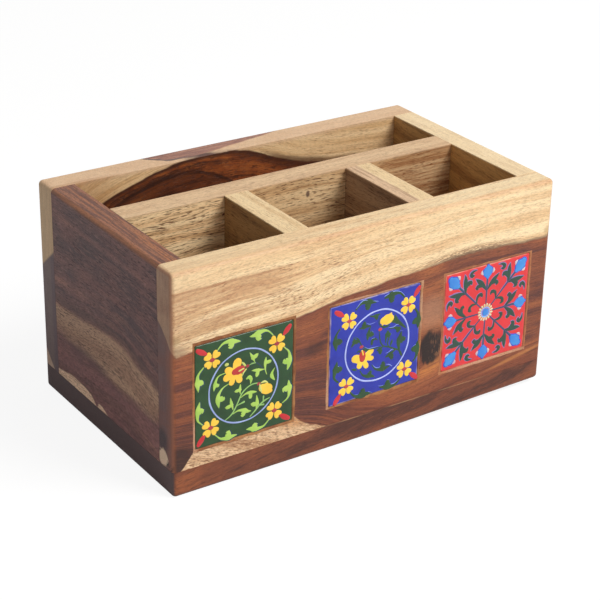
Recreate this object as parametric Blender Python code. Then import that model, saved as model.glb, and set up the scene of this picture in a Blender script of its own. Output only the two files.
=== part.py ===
"""A handmade rosewood cutlery holder with three glazed tiles let into its front.

Metres, +Z up, +X to the right of someone facing the tiles, +Y from the front to the back. The origin is the
middle of the underside.
"""

import math
from collections import defaultdict

import bmesh
import bpy
from mathutils import Matrix, Vector

# Clearances
fit_gap = 0.0003
cut_overrun = 0.002
same_plane = 0.00001

# Boards
base_thickness = 0.0127
wall_height = 0.0963
front_thickness = 0.012
back_thickness = 0.014
left_end_thickness = 0.012
right_end_thickness = 0.013
long_divider_thickness = 0.013
left_divider_thickness = 0.0123
right_divider_thickness = 0.0139
edge_radius = 0.0022
edge_segments = 3

# Clear sizes of the compartments
left_cell_width = 0.0527
middle_cell_width = 0.0558
right_cell_width = 0.0503
front_cell_depth = 0.051
back_cell_depth = 0.035

# Tiles, each on a bed of adhesive inside a border of wood putty
tile_side = 0.0508
tile_thickness = 0.005
tile_edge = 0.0004
tile_bed_thickness = 0.0008
tile_bed_inset = 0.002
putty_width = 0.0012
green_putty_top = 0.0018
blue_putty_top = 0.0011
red_putty_top = 0.0011
putty_gap = 0.0002
putty_sink = 0.0001

# Where the tiles sit: the parts of the bare width left of each tile and of the bare height under each
bare_left_shares = (0.198, 0.541, 0.793)
bare_below_shares = (0.197, 0.215, 0.216)

# Blind dowels, each a bite into the face of one board and deep in the end of the other
dowel_diameter = 0.006
dowel_chamfer = 0.0006
dowel_end_depth = 0.012
dowel_bite_share = 0.65
dowel_height_shares = (0.27, 0.77)

# Countersunk screws up through the base
screw_length = 0.025
screw_shank_diameter = 0.0035
screw_head_diameter = 0.0068
screw_head_lip = 0.0004
screw_sink = 0.0005
end_panel_screw_shares = (0.2, 0.8)
back_panel_screw_shares = (0.12, 0.5, 0.88)
long_divider_screw_shares = (0.2, 0.8)

# Round pieces
round_sides = 12
smooth_angle = math.radians(30)

# Finishes as colour, roughness and metallic value
wood_roughness = 0.55
board_colours = {
    "base_board": (0.16, 0.065, 0.035),
    "front_panel": (0.45, 0.24, 0.11),
    "back_panel": (0.42, 0.22, 0.09),
    "left_end_panel": (0.11, 0.055, 0.045),
    "right_end_panel": (0.55, 0.36, 0.2),
    "long_divider": (0.5, 0.33, 0.19),
    "left_short_divider": (0.62, 0.43, 0.25),
    "right_short_divider": (0.6, 0.42, 0.27),
}
glaze_colours = {"green": (0.03, 0.12, 0.05), "blue": (0.04, 0.05, 0.42), "red": (0.75, 0.06, 0.06)}
glaze_roughness = 0.12
putty_finish = ((0.42, 0.2, 0.08), 0.7, 0.0)
adhesive_finish = ((0.7, 0.66, 0.55), 0.6, 0.0)
dowel_finish = ((0.62, 0.47, 0.3), 0.6, 0.0)
screw_finish = ((0.6, 0.57, 0.5), 0.35, 1.0)

# Faces of the boards, left to right, front to back and bottom to top
front_row_width = (
    left_cell_width + left_divider_thickness + middle_cell_width + right_divider_thickness + right_cell_width
)
box_width = left_end_thickness + front_row_width + right_end_thickness
box_depth = front_thickness + front_cell_depth + long_divider_thickness + back_cell_depth + back_thickness
box_height = base_thickness + wall_height

outer_left = -box_width / 2
left_cell_left = outer_left + left_end_thickness
left_divider_left = left_cell_left + left_cell_width
middle_cell_left = left_divider_left + left_divider_thickness
right_divider_left = middle_cell_left + middle_cell_width
right_cell_left = right_divider_left + right_divider_thickness
right_end_left = right_cell_left + right_cell_width
outer_right = right_end_left + right_end_thickness

outer_front = -box_depth / 2
cell_front = outer_front + front_thickness
long_divider_front = cell_front + front_cell_depth
back_cell_front = long_divider_front + long_divider_thickness
back_panel_front = back_cell_front + back_cell_depth
outer_back = back_panel_front + back_thickness

wall_bottom = base_thickness + fit_gap
recess_depth = tile_thickness + tile_bed_thickness + 2 * fit_gap

# What is cut out of each board, filled in while the recesses, dowels and screws are laid out
recesses = defaultdict(list)
bores = defaultdict(list)


def clear_scene():
    """Removes whatever the scene holds."""
    for old in list(bpy.data.objects):
        bpy.data.objects.remove(old, do_unlink=True)


def make_holder():
    """The empty that carries every piece."""
    empty = bpy.data.objects.new("cutlery_holder", None)
    bpy.context.scene.collection.objects.link(empty)
    return empty


def make_material(name, colour, roughness, metallic=0.0):
    """A plain material in one colour."""
    made = bpy.data.materials.new(name)
    made.use_nodes = True
    shader = made.node_tree.nodes["Principled BSDF"]
    shader.inputs["Base Color"].default_value = (*colour, 1)
    shader.inputs["Roughness"].default_value = roughness
    shader.inputs["Metallic"].default_value = metallic
    return made


def make_mesh(name, bm, finish=None, smooth=False):
    """Turns a bmesh into a mesh with one material."""
    mesh = bpy.data.meshes.new(name)
    bm.to_mesh(mesh)
    bm.free()
    if finish is not None:
        mesh.materials.append(finish)
    if smooth:
        mesh.shade_smooth()
        mesh.set_sharp_from_angle(angle=smooth_angle)
    return mesh


def place_piece(name, mesh, place):
    """Puts a mesh in the scene as one named piece."""
    piece = bpy.data.objects.new(name, mesh)
    bpy.context.scene.collection.objects.link(piece)
    piece.parent = holder
    piece.matrix_local = place
    return piece


def middle(one, other):
    """Halfway between two sizes or points."""
    return (one + other) / 2


def share_along(start, end, share):
    """The place that lies a share of the way from start to end."""
    return start + (end - start) * share


def add_box(bm, low, high):
    """Adds a closed box between two corners."""
    size = high - low
    bmesh.ops.create_cube(bm, size=1, matrix=Matrix.Translation(middle(low, high)) @ Matrix.Diagonal((*size, 1)))


def add_turned(bm, profile, place=None):
    """Adds a closed body turned about local Z, from (radius, height) points that run from pole to pole."""
    place = place or Matrix.Identity(4)
    step_angle = math.tau / round_sides
    rings = []
    for radius, height in profile:
        steps = range(round_sides if radius > 0 else 1)
        ring = [Matrix.Rotation(step * step_angle, 4, "Z") @ Vector((radius, 0, height)) for step in steps]
        rings.append([bm.verts.new(place @ point) for point in ring])
    for lower, upper in zip(rings, rings[1:]):
        for step in range(round_sides):
            after = step + 1
            corners = (
                lower[step % len(lower)], lower[after % len(lower)],
                upper[after % len(upper)], upper[step % len(upper)],
            )
            bm.faces.new(list(dict.fromkeys(corners)))


def pointing(point, way):
    """The place at a point whose local Z runs along a way."""
    return Matrix.Translation(point) @ way.to_track_quat("Z", "Y").to_matrix().to_4x4()


def on_outside(point):
    """True for a point that lies in an outer face of the whole box."""
    reaches = (
        abs(point.x) - box_width / 2,
        abs(point.y) - box_depth / 2,
        abs(point.z - box_height / 2) - box_height / 2,
    )
    return max(reaches) > -same_plane


def make_board(name, low, high):
    """One plank, rounded along the edges where two of its outer faces meet."""
    centre = middle(low, high)
    bm = bmesh.new()
    add_box(bm, low - centre, high - centre)
    weight = bm.edges.layers.float.new("bevel_weight_edge")
    for edge in bm.edges:
        outer = [on_outside(face.calc_center_median() + centre) for face in edge.link_faces]
        edge[weight] = 1.0 if all(outer) else 0.0
    finish = make_material(name, board_colours[name], wood_roughness)
    board = place_piece(name, make_mesh(name, bm, finish, smooth=True), Matrix.Translation(centre))
    rounding = board.modifiers.new("rounded_edges", "BEVEL")
    rounding.limit_method = "WEIGHT"
    rounding.width = edge_radius
    rounding.segments = edge_segments
    return board


def make_boards():
    """The eight planks by name."""
    corners = {
        "base_board": ((outer_left, outer_front, 0), (outer_right, outer_back, base_thickness)),
        "front_panel": ((outer_left, outer_front, wall_bottom), (outer_right, cell_front, box_height)),
        "back_panel": ((outer_left, back_panel_front, wall_bottom), (outer_right, outer_back, box_height)),
        "left_end_panel": (
            (outer_left, cell_front + fit_gap, wall_bottom),
            (left_cell_left, back_panel_front - fit_gap, box_height),
        ),
        "right_end_panel": (
            (right_end_left, cell_front + fit_gap, wall_bottom),
            (outer_right, back_panel_front - fit_gap, box_height),
        ),
        "long_divider": (
            (left_cell_left + fit_gap, long_divider_front, wall_bottom),
            (right_end_left - fit_gap, back_cell_front, box_height),
        ),
        "left_short_divider": (
            (left_divider_left, cell_front + fit_gap, wall_bottom),
            (middle_cell_left, long_divider_front - fit_gap, box_height),
        ),
        "right_short_divider": (
            (right_divider_left, cell_front + fit_gap, wall_bottom),
            (right_cell_left, long_divider_front - fit_gap, box_height),
        ),
    }
    return {name: make_board(name, Vector(low), Vector(high)) for name, (low, high) in corners.items()}


def cut_board(name, board):
    """Cuts a board's recesses and bores with one hidden cutter."""
    bm = bmesh.new()
    for low, high in recesses[name]:
        add_box(bm, low, high)
    for profile, place in bores[name]:
        add_turned(bm, profile, place)
    cutter = bpy.data.objects.new(name + "_cutter", make_mesh(name + "_cutter", bm))
    bpy.context.scene.collection.objects.link(cutter)
    cutter.hide_render = True
    cutter.display_type = "WIRE"
    cut = board.modifiers.new("recesses_and_bores", "BOOLEAN")
    cut.operation = "DIFFERENCE"
    cut.object = cutter


def make_tile(colour, low, high):
    """A glazed tile with slightly eased edges."""
    centre = middle(low, high)
    bm = bmesh.new()
    add_box(bm, low - centre, high - centre)
    finish = make_material(colour + "_glaze", glaze_colours[colour], glaze_roughness)
    tile = place_piece(colour + "_tile", make_mesh(colour + "_tile", bm, finish), Matrix.Translation(centre))
    easing = tile.modifiers.new("eased_edges", "BEVEL")
    easing.limit_method = "NONE"
    easing.width = tile_edge
    easing.segments = 1


def make_tile_bed(colour, tile_low, tile_high, finish):
    """The layer of adhesive behind a tile, a little smaller than the tile."""
    inset = Vector((tile_bed_inset, 0, tile_bed_inset))
    low = Vector((tile_low.x, tile_high.y + fit_gap, tile_low.z)) + inset
    high = Vector((tile_high.x, tile_high.y + fit_gap + tile_bed_thickness, tile_high.z)) - inset
    centre = middle(low, high)
    bm = bmesh.new()
    add_box(bm, low - centre, high - centre)
    place_piece(colour + "_tile_bed", make_mesh(colour + "_tile_bed", bm, finish), Matrix.Translation(centre))


def make_putty_border(colour, tile_low, tile_high, recess_low, recess_high, finish):
    """The square ring of putty between a tile and the sides of its recess."""
    front = outer_front + putty_sink
    back = outer_front + recess_depth - putty_gap
    gap = putty_gap
    inner = (
        (tile_low.x - gap, tile_low.z - gap), (tile_high.x + gap, tile_low.z - gap),
        (tile_high.x + gap, tile_high.z + gap), (tile_low.x - gap, tile_high.z + gap),
    )
    outer = (
        (recess_low.x + gap, recess_low.z + gap), (recess_high.x - gap, recess_low.z + gap),
        (recess_high.x - gap, recess_high.z - gap), (recess_low.x + gap, recess_high.z - gap),
    )
    centre = middle(tile_low, tile_high)
    bm = bmesh.new()
    front_inner, front_outer, back_inner, back_outer = [
        [bm.verts.new(Vector((x, y, z)) - centre) for x, z in loop]
        for y, loop in ((front, inner), (front, outer), (back, inner), (back, outer))
    ]
    walls = (
        (front_outer, front_inner), (front_inner, back_inner), (back_inner, back_outer), (back_outer, front_outer),
    )
    for one, other in walls:
        for side in range(len(one)):
            bm.faces.new((one[side - 1], one[side], other[side], other[side - 1]))
    bmesh.ops.recalc_face_normals(bm, faces=bm.faces)
    name = colour + "_putty_border"
    place_piece(name, make_mesh(name, bm, finish), Matrix.Translation(centre))


def make_tile_row():
    """Recesses in the front panel, each with a bed of adhesive, a tile and a putty border."""
    putty = make_material("putty", *putty_finish)
    adhesive = make_material("adhesive", *adhesive_finish)
    putty_tops = (("green", green_putty_top), ("blue", blue_putty_top), ("red", red_putty_top))
    bare_width = box_width - len(putty_tops) * tile_side
    bare_height = wall_height - tile_side
    for place, (colour, putty_top) in enumerate(putty_tops):
        left = outer_left + bare_width * bare_left_shares[place] + place * tile_side
        bottom = base_thickness + bare_height * bare_below_shares[place]
        low = Vector((left, outer_front, bottom))
        high = Vector((left + tile_side, outer_front + tile_thickness, bottom + tile_side))
        recess_low = Vector((low.x - putty_width, outer_front - cut_overrun, low.z - putty_width))
        recess_high = Vector((high.x + putty_width, outer_front + recess_depth, high.z + putty_top))
        recesses["front_panel"].append((recess_low, recess_high))
        make_tile(colour, low, high)
        make_tile_bed(colour, low, high, adhesive)
        make_putty_border(colour, low, high, recess_low, recess_high, putty)


def dowel_profile(length, radius, chamfer):
    """A dowel from one end to the other, with its ends chamfered."""
    return (
        (0, 0), (radius - chamfer, 0), (radius, chamfer),
        (radius, length - chamfer), (radius - chamfer, length), (0, length),
    )


def make_dowel(name, flat_board, end_board, face_point, way, bite, finish):
    """One blind dowel from the face of one board, along a way, into the end of another."""
    bore_length = bite + fit_gap + dowel_end_depth
    bore_radius = dowel_diameter / 2 + fit_gap
    bore = ((0, 0), (bore_radius, 0), (bore_radius, bore_length), (0, bore_length))
    bore_place = pointing(face_point - bite * way, way)
    bores[flat_board].append((bore, bore_place))
    bores[end_board].append((bore, bore_place))
    bm = bmesh.new()
    add_turned(bm, dowel_profile(bore_length - 2 * fit_gap, dowel_diameter / 2, dowel_chamfer))
    place = pointing(face_point - (bite - fit_gap) * way, way)
    place_piece(name, make_mesh(name, bm, finish, smooth=True), place)


def make_dowels():
    """Two dowels, low and high, in every butt joint."""
    finish = make_material("dowel_wood", *dowel_finish)
    right, back = Vector((1, 0, 0)), Vector((0, 1, 0))
    left_end_middle = middle(outer_left, left_cell_left)
    right_end_middle = middle(right_end_left, outer_right)
    left_divider_middle = middle(left_divider_left, middle_cell_left)
    right_divider_middle = middle(right_divider_left, right_cell_left)
    long_divider_middle = middle(long_divider_front, back_cell_front)
    front_bite = dowel_bite_share * (front_thickness - recess_depth)
    back_bite = dowel_bite_share * back_thickness
    left_bite = dowel_bite_share * left_end_thickness
    right_bite = dowel_bite_share * right_end_thickness
    long_bite = dowel_bite_share * long_divider_thickness
    joints = (
        ("front_left", "front_panel", "left_end_panel", left_end_middle, cell_front, back, front_bite),
        ("front_right", "front_panel", "right_end_panel", right_end_middle, cell_front, back, front_bite),
        ("back_left", "back_panel", "left_end_panel", left_end_middle, back_panel_front, -back, back_bite),
        ("back_right", "back_panel", "right_end_panel", right_end_middle, back_panel_front, -back, back_bite),
        ("long_divider_left", "left_end_panel", "long_divider", left_cell_left, long_divider_middle,
         right, left_bite),
        ("long_divider_right", "right_end_panel", "long_divider", right_end_left, long_divider_middle,
         -right, right_bite),
        ("left_divider_front", "front_panel", "left_short_divider", left_divider_middle, cell_front,
         back, front_bite),
        ("left_divider_back", "long_divider", "left_short_divider", left_divider_middle, long_divider_front,
         -back, long_bite),
        ("right_divider_front", "front_panel", "right_short_divider", right_divider_middle, cell_front,
         back, front_bite),
        ("right_divider_back", "long_divider", "right_short_divider", right_divider_middle,
         long_divider_front, -back, long_bite),
    )
    for joint, flat_board, end_board, x, y, way, bite in joints:
        for level, height_share in zip(("low", "high"), dowel_height_shares):
            point = Vector((x, y, base_thickness + wall_height * height_share))
            make_dowel(f"{joint}_dowel_{level}", flat_board, end_board, point, way, bite, finish)


def screw_profile(clearance, overrun):
    """Underside to tip of a countersunk screw, or of the bore for it where there is a clearance."""
    head = screw_head_diameter / 2 + clearance
    shank = screw_shank_diameter / 2 + clearance
    neck_height = screw_sink + screw_head_lip + head - shank
    tip_height = screw_sink + screw_length + clearance
    return (
        (0, screw_sink - overrun), (head, screw_sink - overrun), (head, screw_sink + screw_head_lip),
        (shank, neck_height), (shank, tip_height - screw_shank_diameter), (0, tip_height),
    )


def make_screws():
    """The screws that hold each standing board to the base."""
    finish = make_material("screw_steel", *screw_finish)
    end_front, end_back = cell_front + fit_gap, back_panel_front - fit_gap
    divider_middle = middle(cell_front, long_divider_front)
    screws = []
    for end, share in zip(("front", "back"), end_panel_screw_shares):
        y = share_along(end_front, end_back, share)
        screws.append(("left_end_" + end, "left_end_panel", middle(outer_left, left_cell_left), y))
        screws.append(("right_end_" + end, "right_end_panel", middle(right_end_left, outer_right), y))
    for side, share in zip(("left", "middle", "right"), back_panel_screw_shares):
        x = share_along(outer_left, outer_right, share)
        screws.append(("back_" + side, "back_panel", x, middle(back_panel_front, outer_back)))
    for side, share in zip(("left", "right"), long_divider_screw_shares):
        x = share_along(left_cell_left, right_end_left, share)
        screws.append(("long_divider_" + side, "long_divider", x, middle(long_divider_front, back_cell_front)))
    screws.append(
        ("left_divider", "left_short_divider", middle(left_divider_left, middle_cell_left), divider_middle))
    screws.append(
        ("right_divider", "right_short_divider", middle(right_divider_left, right_cell_left), divider_middle))
    bm = bmesh.new()
    add_turned(bm, screw_profile(0, 0))
    mesh = make_mesh("base_screw", bm, finish, smooth=True)
    bore = screw_profile(fit_gap, screw_sink + cut_overrun)
    for name, board, x, y in screws:
        place = Matrix.Translation((x, y, 0))
        bores["base_board"].append((bore, place))
        bores[board].append((bore, place))
        place_piece(name + "_base_screw", mesh, place)


clear_scene()
holder = make_holder()
planks = make_boards()
make_tile_row()
make_dowels()
make_screws()
for plank_name, plank in planks.items():
    cut_board(plank_name, plank)
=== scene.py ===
"""The looks of a handmade rosewood cutlery holder with three glazed tiles.

Everything is in metres in the frame's own axes, except in the wood's shaders and the tiles' painting, which
count in millimetres.
"""

import math
import random

import bmesh
import bpy
from mathutils import Matrix, Vector, noise


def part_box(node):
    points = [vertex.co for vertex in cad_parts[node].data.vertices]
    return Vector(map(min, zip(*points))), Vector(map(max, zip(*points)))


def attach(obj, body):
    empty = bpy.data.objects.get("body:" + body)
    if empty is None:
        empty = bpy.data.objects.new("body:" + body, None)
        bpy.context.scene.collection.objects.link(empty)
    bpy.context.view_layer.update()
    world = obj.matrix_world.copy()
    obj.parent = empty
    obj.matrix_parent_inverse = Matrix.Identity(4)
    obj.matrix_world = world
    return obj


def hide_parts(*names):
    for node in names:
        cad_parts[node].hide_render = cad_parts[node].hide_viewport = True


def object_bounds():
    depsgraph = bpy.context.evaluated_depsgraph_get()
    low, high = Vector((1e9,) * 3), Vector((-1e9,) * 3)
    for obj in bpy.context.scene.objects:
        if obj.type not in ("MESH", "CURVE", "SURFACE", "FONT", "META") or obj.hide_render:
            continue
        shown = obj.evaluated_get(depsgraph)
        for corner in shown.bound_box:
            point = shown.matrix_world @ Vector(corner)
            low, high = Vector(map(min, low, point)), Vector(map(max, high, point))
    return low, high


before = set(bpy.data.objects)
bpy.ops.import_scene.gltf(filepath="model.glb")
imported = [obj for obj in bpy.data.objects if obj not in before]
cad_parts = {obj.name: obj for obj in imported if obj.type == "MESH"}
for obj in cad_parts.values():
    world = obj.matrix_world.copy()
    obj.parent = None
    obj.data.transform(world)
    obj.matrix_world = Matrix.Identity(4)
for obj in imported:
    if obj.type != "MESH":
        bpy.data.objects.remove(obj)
cad_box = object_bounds()

MM = 0.001
PER_MM = 1000.0
root = "root"

# Boards
edge_radius = 2.2 * MM
joint_edge_radius = 0.22 * MM
edge_segments = 6
joint_edge_segments = 2
sharp_angle = math.radians(50)
glue_fill = 0.15 * MM
lift_height = 2.6 * MM
lift_depth = 10 * MM
lift_steps = 8
same_plane = 0.01 * MM
recess_gap = 0.1 * MM
recess_overshoot = 1 * MM
head_clearance = 0.03 * MM
round_sides = 48

low_corner, high_corner = cad_box
half_width = high_corner.x * PER_MM
half_depth = high_corner.y * PER_MM
box_height = high_corner.z * PER_MM

# Wood, in millimetres
edge_tint_reach = 2.3
end_skin = 1.3
end_skin_full = 0.3
left_end_share = 0.95
right_end_share = 0.3
grain_relief = 0.05


def span(node, axis):
    """From where to where a node reaches along an axis, in millimetres."""
    low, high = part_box(node)
    return low[axis] * PER_MM, high[axis] * PER_MM


def srgb(code):
    """A linear colour from its usual six figures."""
    parts = [int(code[place:place + 2], 16) / 255 for place in (1, 3, 5)]
    linear = [part / 12.92 if part <= 0.04045 else ((part + 0.055) / 1.055) ** 2.4 for part in parts]
    return (*linear, 1.0)


# Fields: shader sums written plainly
class Field:
    """A value that varies over a surface: one output of a shader node."""

    def __init__(self, shader, socket):
        self.shader = shader
        self.socket = socket

    def __add__(self, other):
        return self.shader.math("ADD", self, other)

    def __radd__(self, other):
        return self.shader.math("ADD", other, self)

    def __sub__(self, other):
        return self.shader.math("SUBTRACT", self, other)

    def __rsub__(self, other):
        return self.shader.math("SUBTRACT", other, self)

    def __mul__(self, other):
        return self.shader.math("MULTIPLY", self, other)

    def __rmul__(self, other):
        return self.shader.math("MULTIPLY", other, self)

    def __truediv__(self, other):
        return self.shader.math("DIVIDE", self, other)

    def __abs__(self):
        return self.shader.math("ABSOLUTE", self)


class Shader:
    """The nodes of a material or a world, made by plain calls."""

    def __init__(self, owner):
        owner.use_nodes = True
        self.owner = owner
        self.nodes = owner.node_tree.nodes
        self.links = owner.node_tree.links

    def put(self, socket, value):
        """Gives a socket a field, a colour by its usual six figures, or another value of its own."""
        if isinstance(value, Field):
            self.links.new(value.socket, socket)
        else:
            socket.default_value = srgb(value) if isinstance(value, str) else value

    def node(self, kind, inputs=(), output=0, **settings):
        """One node with its settings and inputs, as a field."""
        made = self.nodes.new(kind)
        for key, value in settings.items():
            setattr(made, key, value)
        for key, value in dict(inputs).items():
            self.put(made.inputs[key], value)
        return Field(self, made.outputs[output])

    def math(self, operation, *values):
        return self.node("ShaderNodeMath", dict(enumerate(values)), operation=operation)

    def largest(self, *values):
        result = values[0]
        for value in values[1:]:
            result = self.math("MAXIMUM", result, value)
        return result

    def place(self):
        """Where a point of the part is, in millimetres."""
        where = self.node("ShaderNodeTexCoord", output="Object")
        parts = self.nodes.new("ShaderNodeSeparateXYZ")
        self.put(parts.inputs[0], where)
        return [Field(self, output) * PER_MM for output in parts.outputs]

    def noise(self, x, y, z, detail=2.0, roughness=0.5):
        """Soft noise from 0 to 1, one wave to a unit."""
        vector = self.node("ShaderNodeCombineXYZ", {0: x, 1: y, 2: z})
        inputs = {"Vector": vector, "Scale": 1.0, "Detail": detail, "Roughness": roughness}
        return self.node("ShaderNodeTexNoise", inputs)

    def step(self, value, low, high):
        """Goes smoothly from 0 at low to 1 at high."""
        inputs = {"Value": value, "From Min": low, "From Max": high}
        return self.node("ShaderNodeMapRange", inputs, interpolation_type="SMOOTHSTEP")

    def mix(self, share, one, other):
        """A colour a share of the way from one to the other."""
        inputs = {0: share, 6: one, 7: other}
        return self.node("ShaderNodeMix", inputs, output=2, data_type="RGBA")

    def layered(self, colour, layers):
        """A colour with others laid over it in turn, each by its share."""
        for share, other in layers:
            colour = self.mix(share, colour, other)
        return colour

    def scaled(self, colour, share):
        """A colour made lighter or darker."""
        inputs = {0: 1.0, 6: colour, 7: share}
        return self.node("ShaderNodeMix", inputs, output=2, data_type="RGBA", blend_type="MULTIPLY")

    def end_rings(self, colour, deep, z):
        """Growth rings on a plank's end, upright and uneven."""
        rings = self.noise(deep / 1.1, z / 16, 0.0, detail=4.0, roughness=0.6)
        flecks = self.noise(deep / 0.5, z / 3, 0.0, detail=2.0)
        return self.scaled(colour, 0.5 + rings * 0.8 + flecks * 0.24)

    def curve(self, value, points):
        """A smooth curve through a few (in, out) points."""
        ins, outs = zip(*points)
        low, high = min(outs), max(outs)
        unit = (value - ins[0]) / (ins[-1] - ins[0])
        made = self.nodes.new("ShaderNodeFloatCurve")
        self.put(made.inputs["Value"], unit)
        line = made.mapping.curves[0]
        scaled = [((a - ins[0]) / (ins[-1] - ins[0]), (b - low) / (high - low)) for a, b in points]
        line.points[0].location = scaled[0]
        line.points[1].location = scaled[-1]
        for point in scaled[1:-1]:
            line.points.new(*point)
        made.mapping.update()
        return Field(self, made.outputs[0]) * (high - low) + low

    def spot(self, a, b, centre, radii, soft=0.5):
        """1 inside an oval and 0 outside it, with a soft rim."""
        one, other = (a - centre[0]) / radii[0], (b - centre[1]) / radii[1]
        reach = self.math("SQRT", one * one + other * other)
        return self.step(reach, 1 + soft, 1 - soft)

    def finish(self, colour, roughness, bump, bump_height, specular=0.5):
        """Sets the surface, with relief of a height in millimetres."""
        surface = self.nodes["Principled BSDF"]
        relief = self.node("ShaderNodeBump", {"Height": bump, "Strength": 1.0, "Distance": bump_height * MM})
        self.put(surface.inputs["Base Color"], colour)
        self.put(surface.inputs["Roughness"], roughness)
        self.put(surface.inputs["Normal"], relief)
        surface.inputs["Specular IOR Level"].default_value = specular
        return self.owner


# Wood colours
cream = "#F6DCB0"
honey = "#EAC695"
tan = "#CFA176"
fleck_brown = "#8A5638"
pink_tan = "#D9B08A"
red_brown = "#84482F"
purple_brown = "#5E332B"
orange_brown = "#A8623A"
dark_brown = "#3F241B"
mauve_tan = "#AE7F62"
near_black = "#2A1A17"


class Plank:
    """The grain of one board, in millimetres along, across and into the board."""

    def __init__(self, name, grain_axis, across_axis, seed):
        self.shader = Shader(bpy.data.materials.new(name))
        place = self.shader.place()
        depth_axis = 3 - grain_axis - across_axis
        self.x, self.y, self.z = place
        self.along = place[grain_axis]
        self.across = place[across_axis]
        self.depth = place[depth_axis]
        self.seed = seed

    def lines(self, bend=0.0, wave=3.0, coarse=1.0):
        """Works out the bands, streaks and pores along the grain. bend moves the lines across the board."""
        s = self.shader
        level = self.across - bend
        slow = s.noise(self.along / 55 + self.seed, level / 16, self.depth / 16, detail=1.0)
        level = level + (slow - 0.5) * (2 * wave)
        deep = self.depth + (slow - 0.5) * wave

        def grain(length, width, depth, detail=2.0, roughness=0.5):
            """Noise drawn out along the grain."""
            return s.noise(self.along / length + self.seed, level / width, deep / depth, detail, roughness)

        self.level = level
        self.bands = grain(190, 5, 6, detail=3.0)
        self.streaks = grain(30, 1.3, 1.3, detail=4.0, roughness=0.65)
        self.fibres = grain(9 * coarse, 0.5 * coarse, 0.5 * coarse, roughness=0.6)
        self.pores = grain(3.6 * coarse, 0.42 * coarse, 0.42 * coarse, detail=1.0)
        self.blotches = grain(20, 9, 9)
        self.rings = grain(130, 0.85, 2.4)
        self.grit = grain(1.7, 0.6, 0.6, roughness=0.7)

    def sapwood(self, light=cream, middle=honey, dark=tan, fleck=fleck_brown, streakiness=0.5, flecks=0.5):
        """Pale wood with darker streaks and short brown pores."""
        s = self.shader
        colour = s.mix(s.step(self.bands, 0.35, 0.65), light, middle)
        streaked = s.step(self.streaks + (self.bands - 0.5) * 0.6, 0.42, 0.7)
        colour = s.layered(colour, (
            (streaked * streakiness, dark),
            (s.step(self.fibres, 0.5, 0.3) * 0.35, light)))
        density = s.step(self.streaks * 0.5 + self.blotches * 0.5, 0.3, 0.6)
        colour = s.mix(s.step(self.fibres, 0.56, 0.74) * density * flecks * 0.8, colour, fleck)
        return s.mix(s.step(self.pores, 0.55, 0.68) * density * flecks, colour, fleck)

    def heartwood(self, light=orange_brown, middle=red_brown, dark=purple_brown, fleck=dark_brown,
                  lift=0.0, streakiness=0.6, flecks=0.5, ringed=0.25):
        """Reddish wood, from orange-brown to a purplish brown, with dark lines and pores."""
        s = self.shader
        tone = self.bands + (self.blotches - 0.5) * 0.5 + (self.streaks - 0.5) * 0.5 + lift
        colour = s.mix(s.step(tone, 0.36, 0.54), dark, middle)
        colour = s.layered(colour, (
            (s.step(tone, 0.56, 0.82), light),
            (s.step(self.streaks, 0.52, 0.66) * streakiness, dark),
            (s.step(self.rings, 0.54, 0.66) * ringed, fleck),
            (s.step(self.rings, 0.46, 0.34) * ringed * 0.5, light),
            (s.step(self.fibres, 0.46, 0.28) * 0.4, light),
            (s.step(self.fibres, 0.58, 0.74) * 0.5, fleck)))
        return s.mix(s.step(self.pores, 0.56, 0.7) * flecks, colour, fleck)

    def worn_and_shaded_edges(self):
        """1 along the rounded outer edges of the whole box."""
        s = self.shader
        reaches = ((self.x, half_width), (self.y, half_depth), (self.z - box_height / 2, box_height / 2))
        one, two, three = (s.step(abs(offset), half - edge_tint_reach, half) for offset, half in reaches)
        return s.largest(one * two, two * three, one * three)

    def finish(self, colour, roughness=0.5, edge_colour=None, edge_share=0.35, end_grain=None, specular=0.4,
               grit=0.09):
        """Sets the surface, with a tint along the rounded edges (wear, and on the base painted shade), an end
        grain of its own on the left and fine grit.
        """
        s = self.shader
        if end_grain is not None:
            at_left = s.step(self.x, end_skin - half_width, end_skin_full - half_width)
            at_right = s.step(self.x, half_width - end_skin, half_width - end_skin_full)
            colour = s.layered(colour, (
                (at_left * left_end_share, end_grain),
                (at_right * right_end_share, dark_brown)))
        lighter = s.step(self.grit, 0.5, 0.32) * (grit * 0.9)
        darker = s.step(self.grit, 0.5, 0.68) * (grit * 1.8)
        colour = s.scaled(colour, 1 + lighter - darker)
        if edge_colour is not None:
            colour = s.mix(self.worn_and_shaded_edges() * edge_share, colour, edge_colour)
        relief = self.streaks * 0.5 - s.step(self.pores, 0.52, 0.75)
        rough = roughness + s.step(self.pores, 0.55, 0.75) * 0.15 + (self.blotches - 0.5) * 0.1
        return s.finish(colour, rough, relief, grain_relief, specular)


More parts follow.
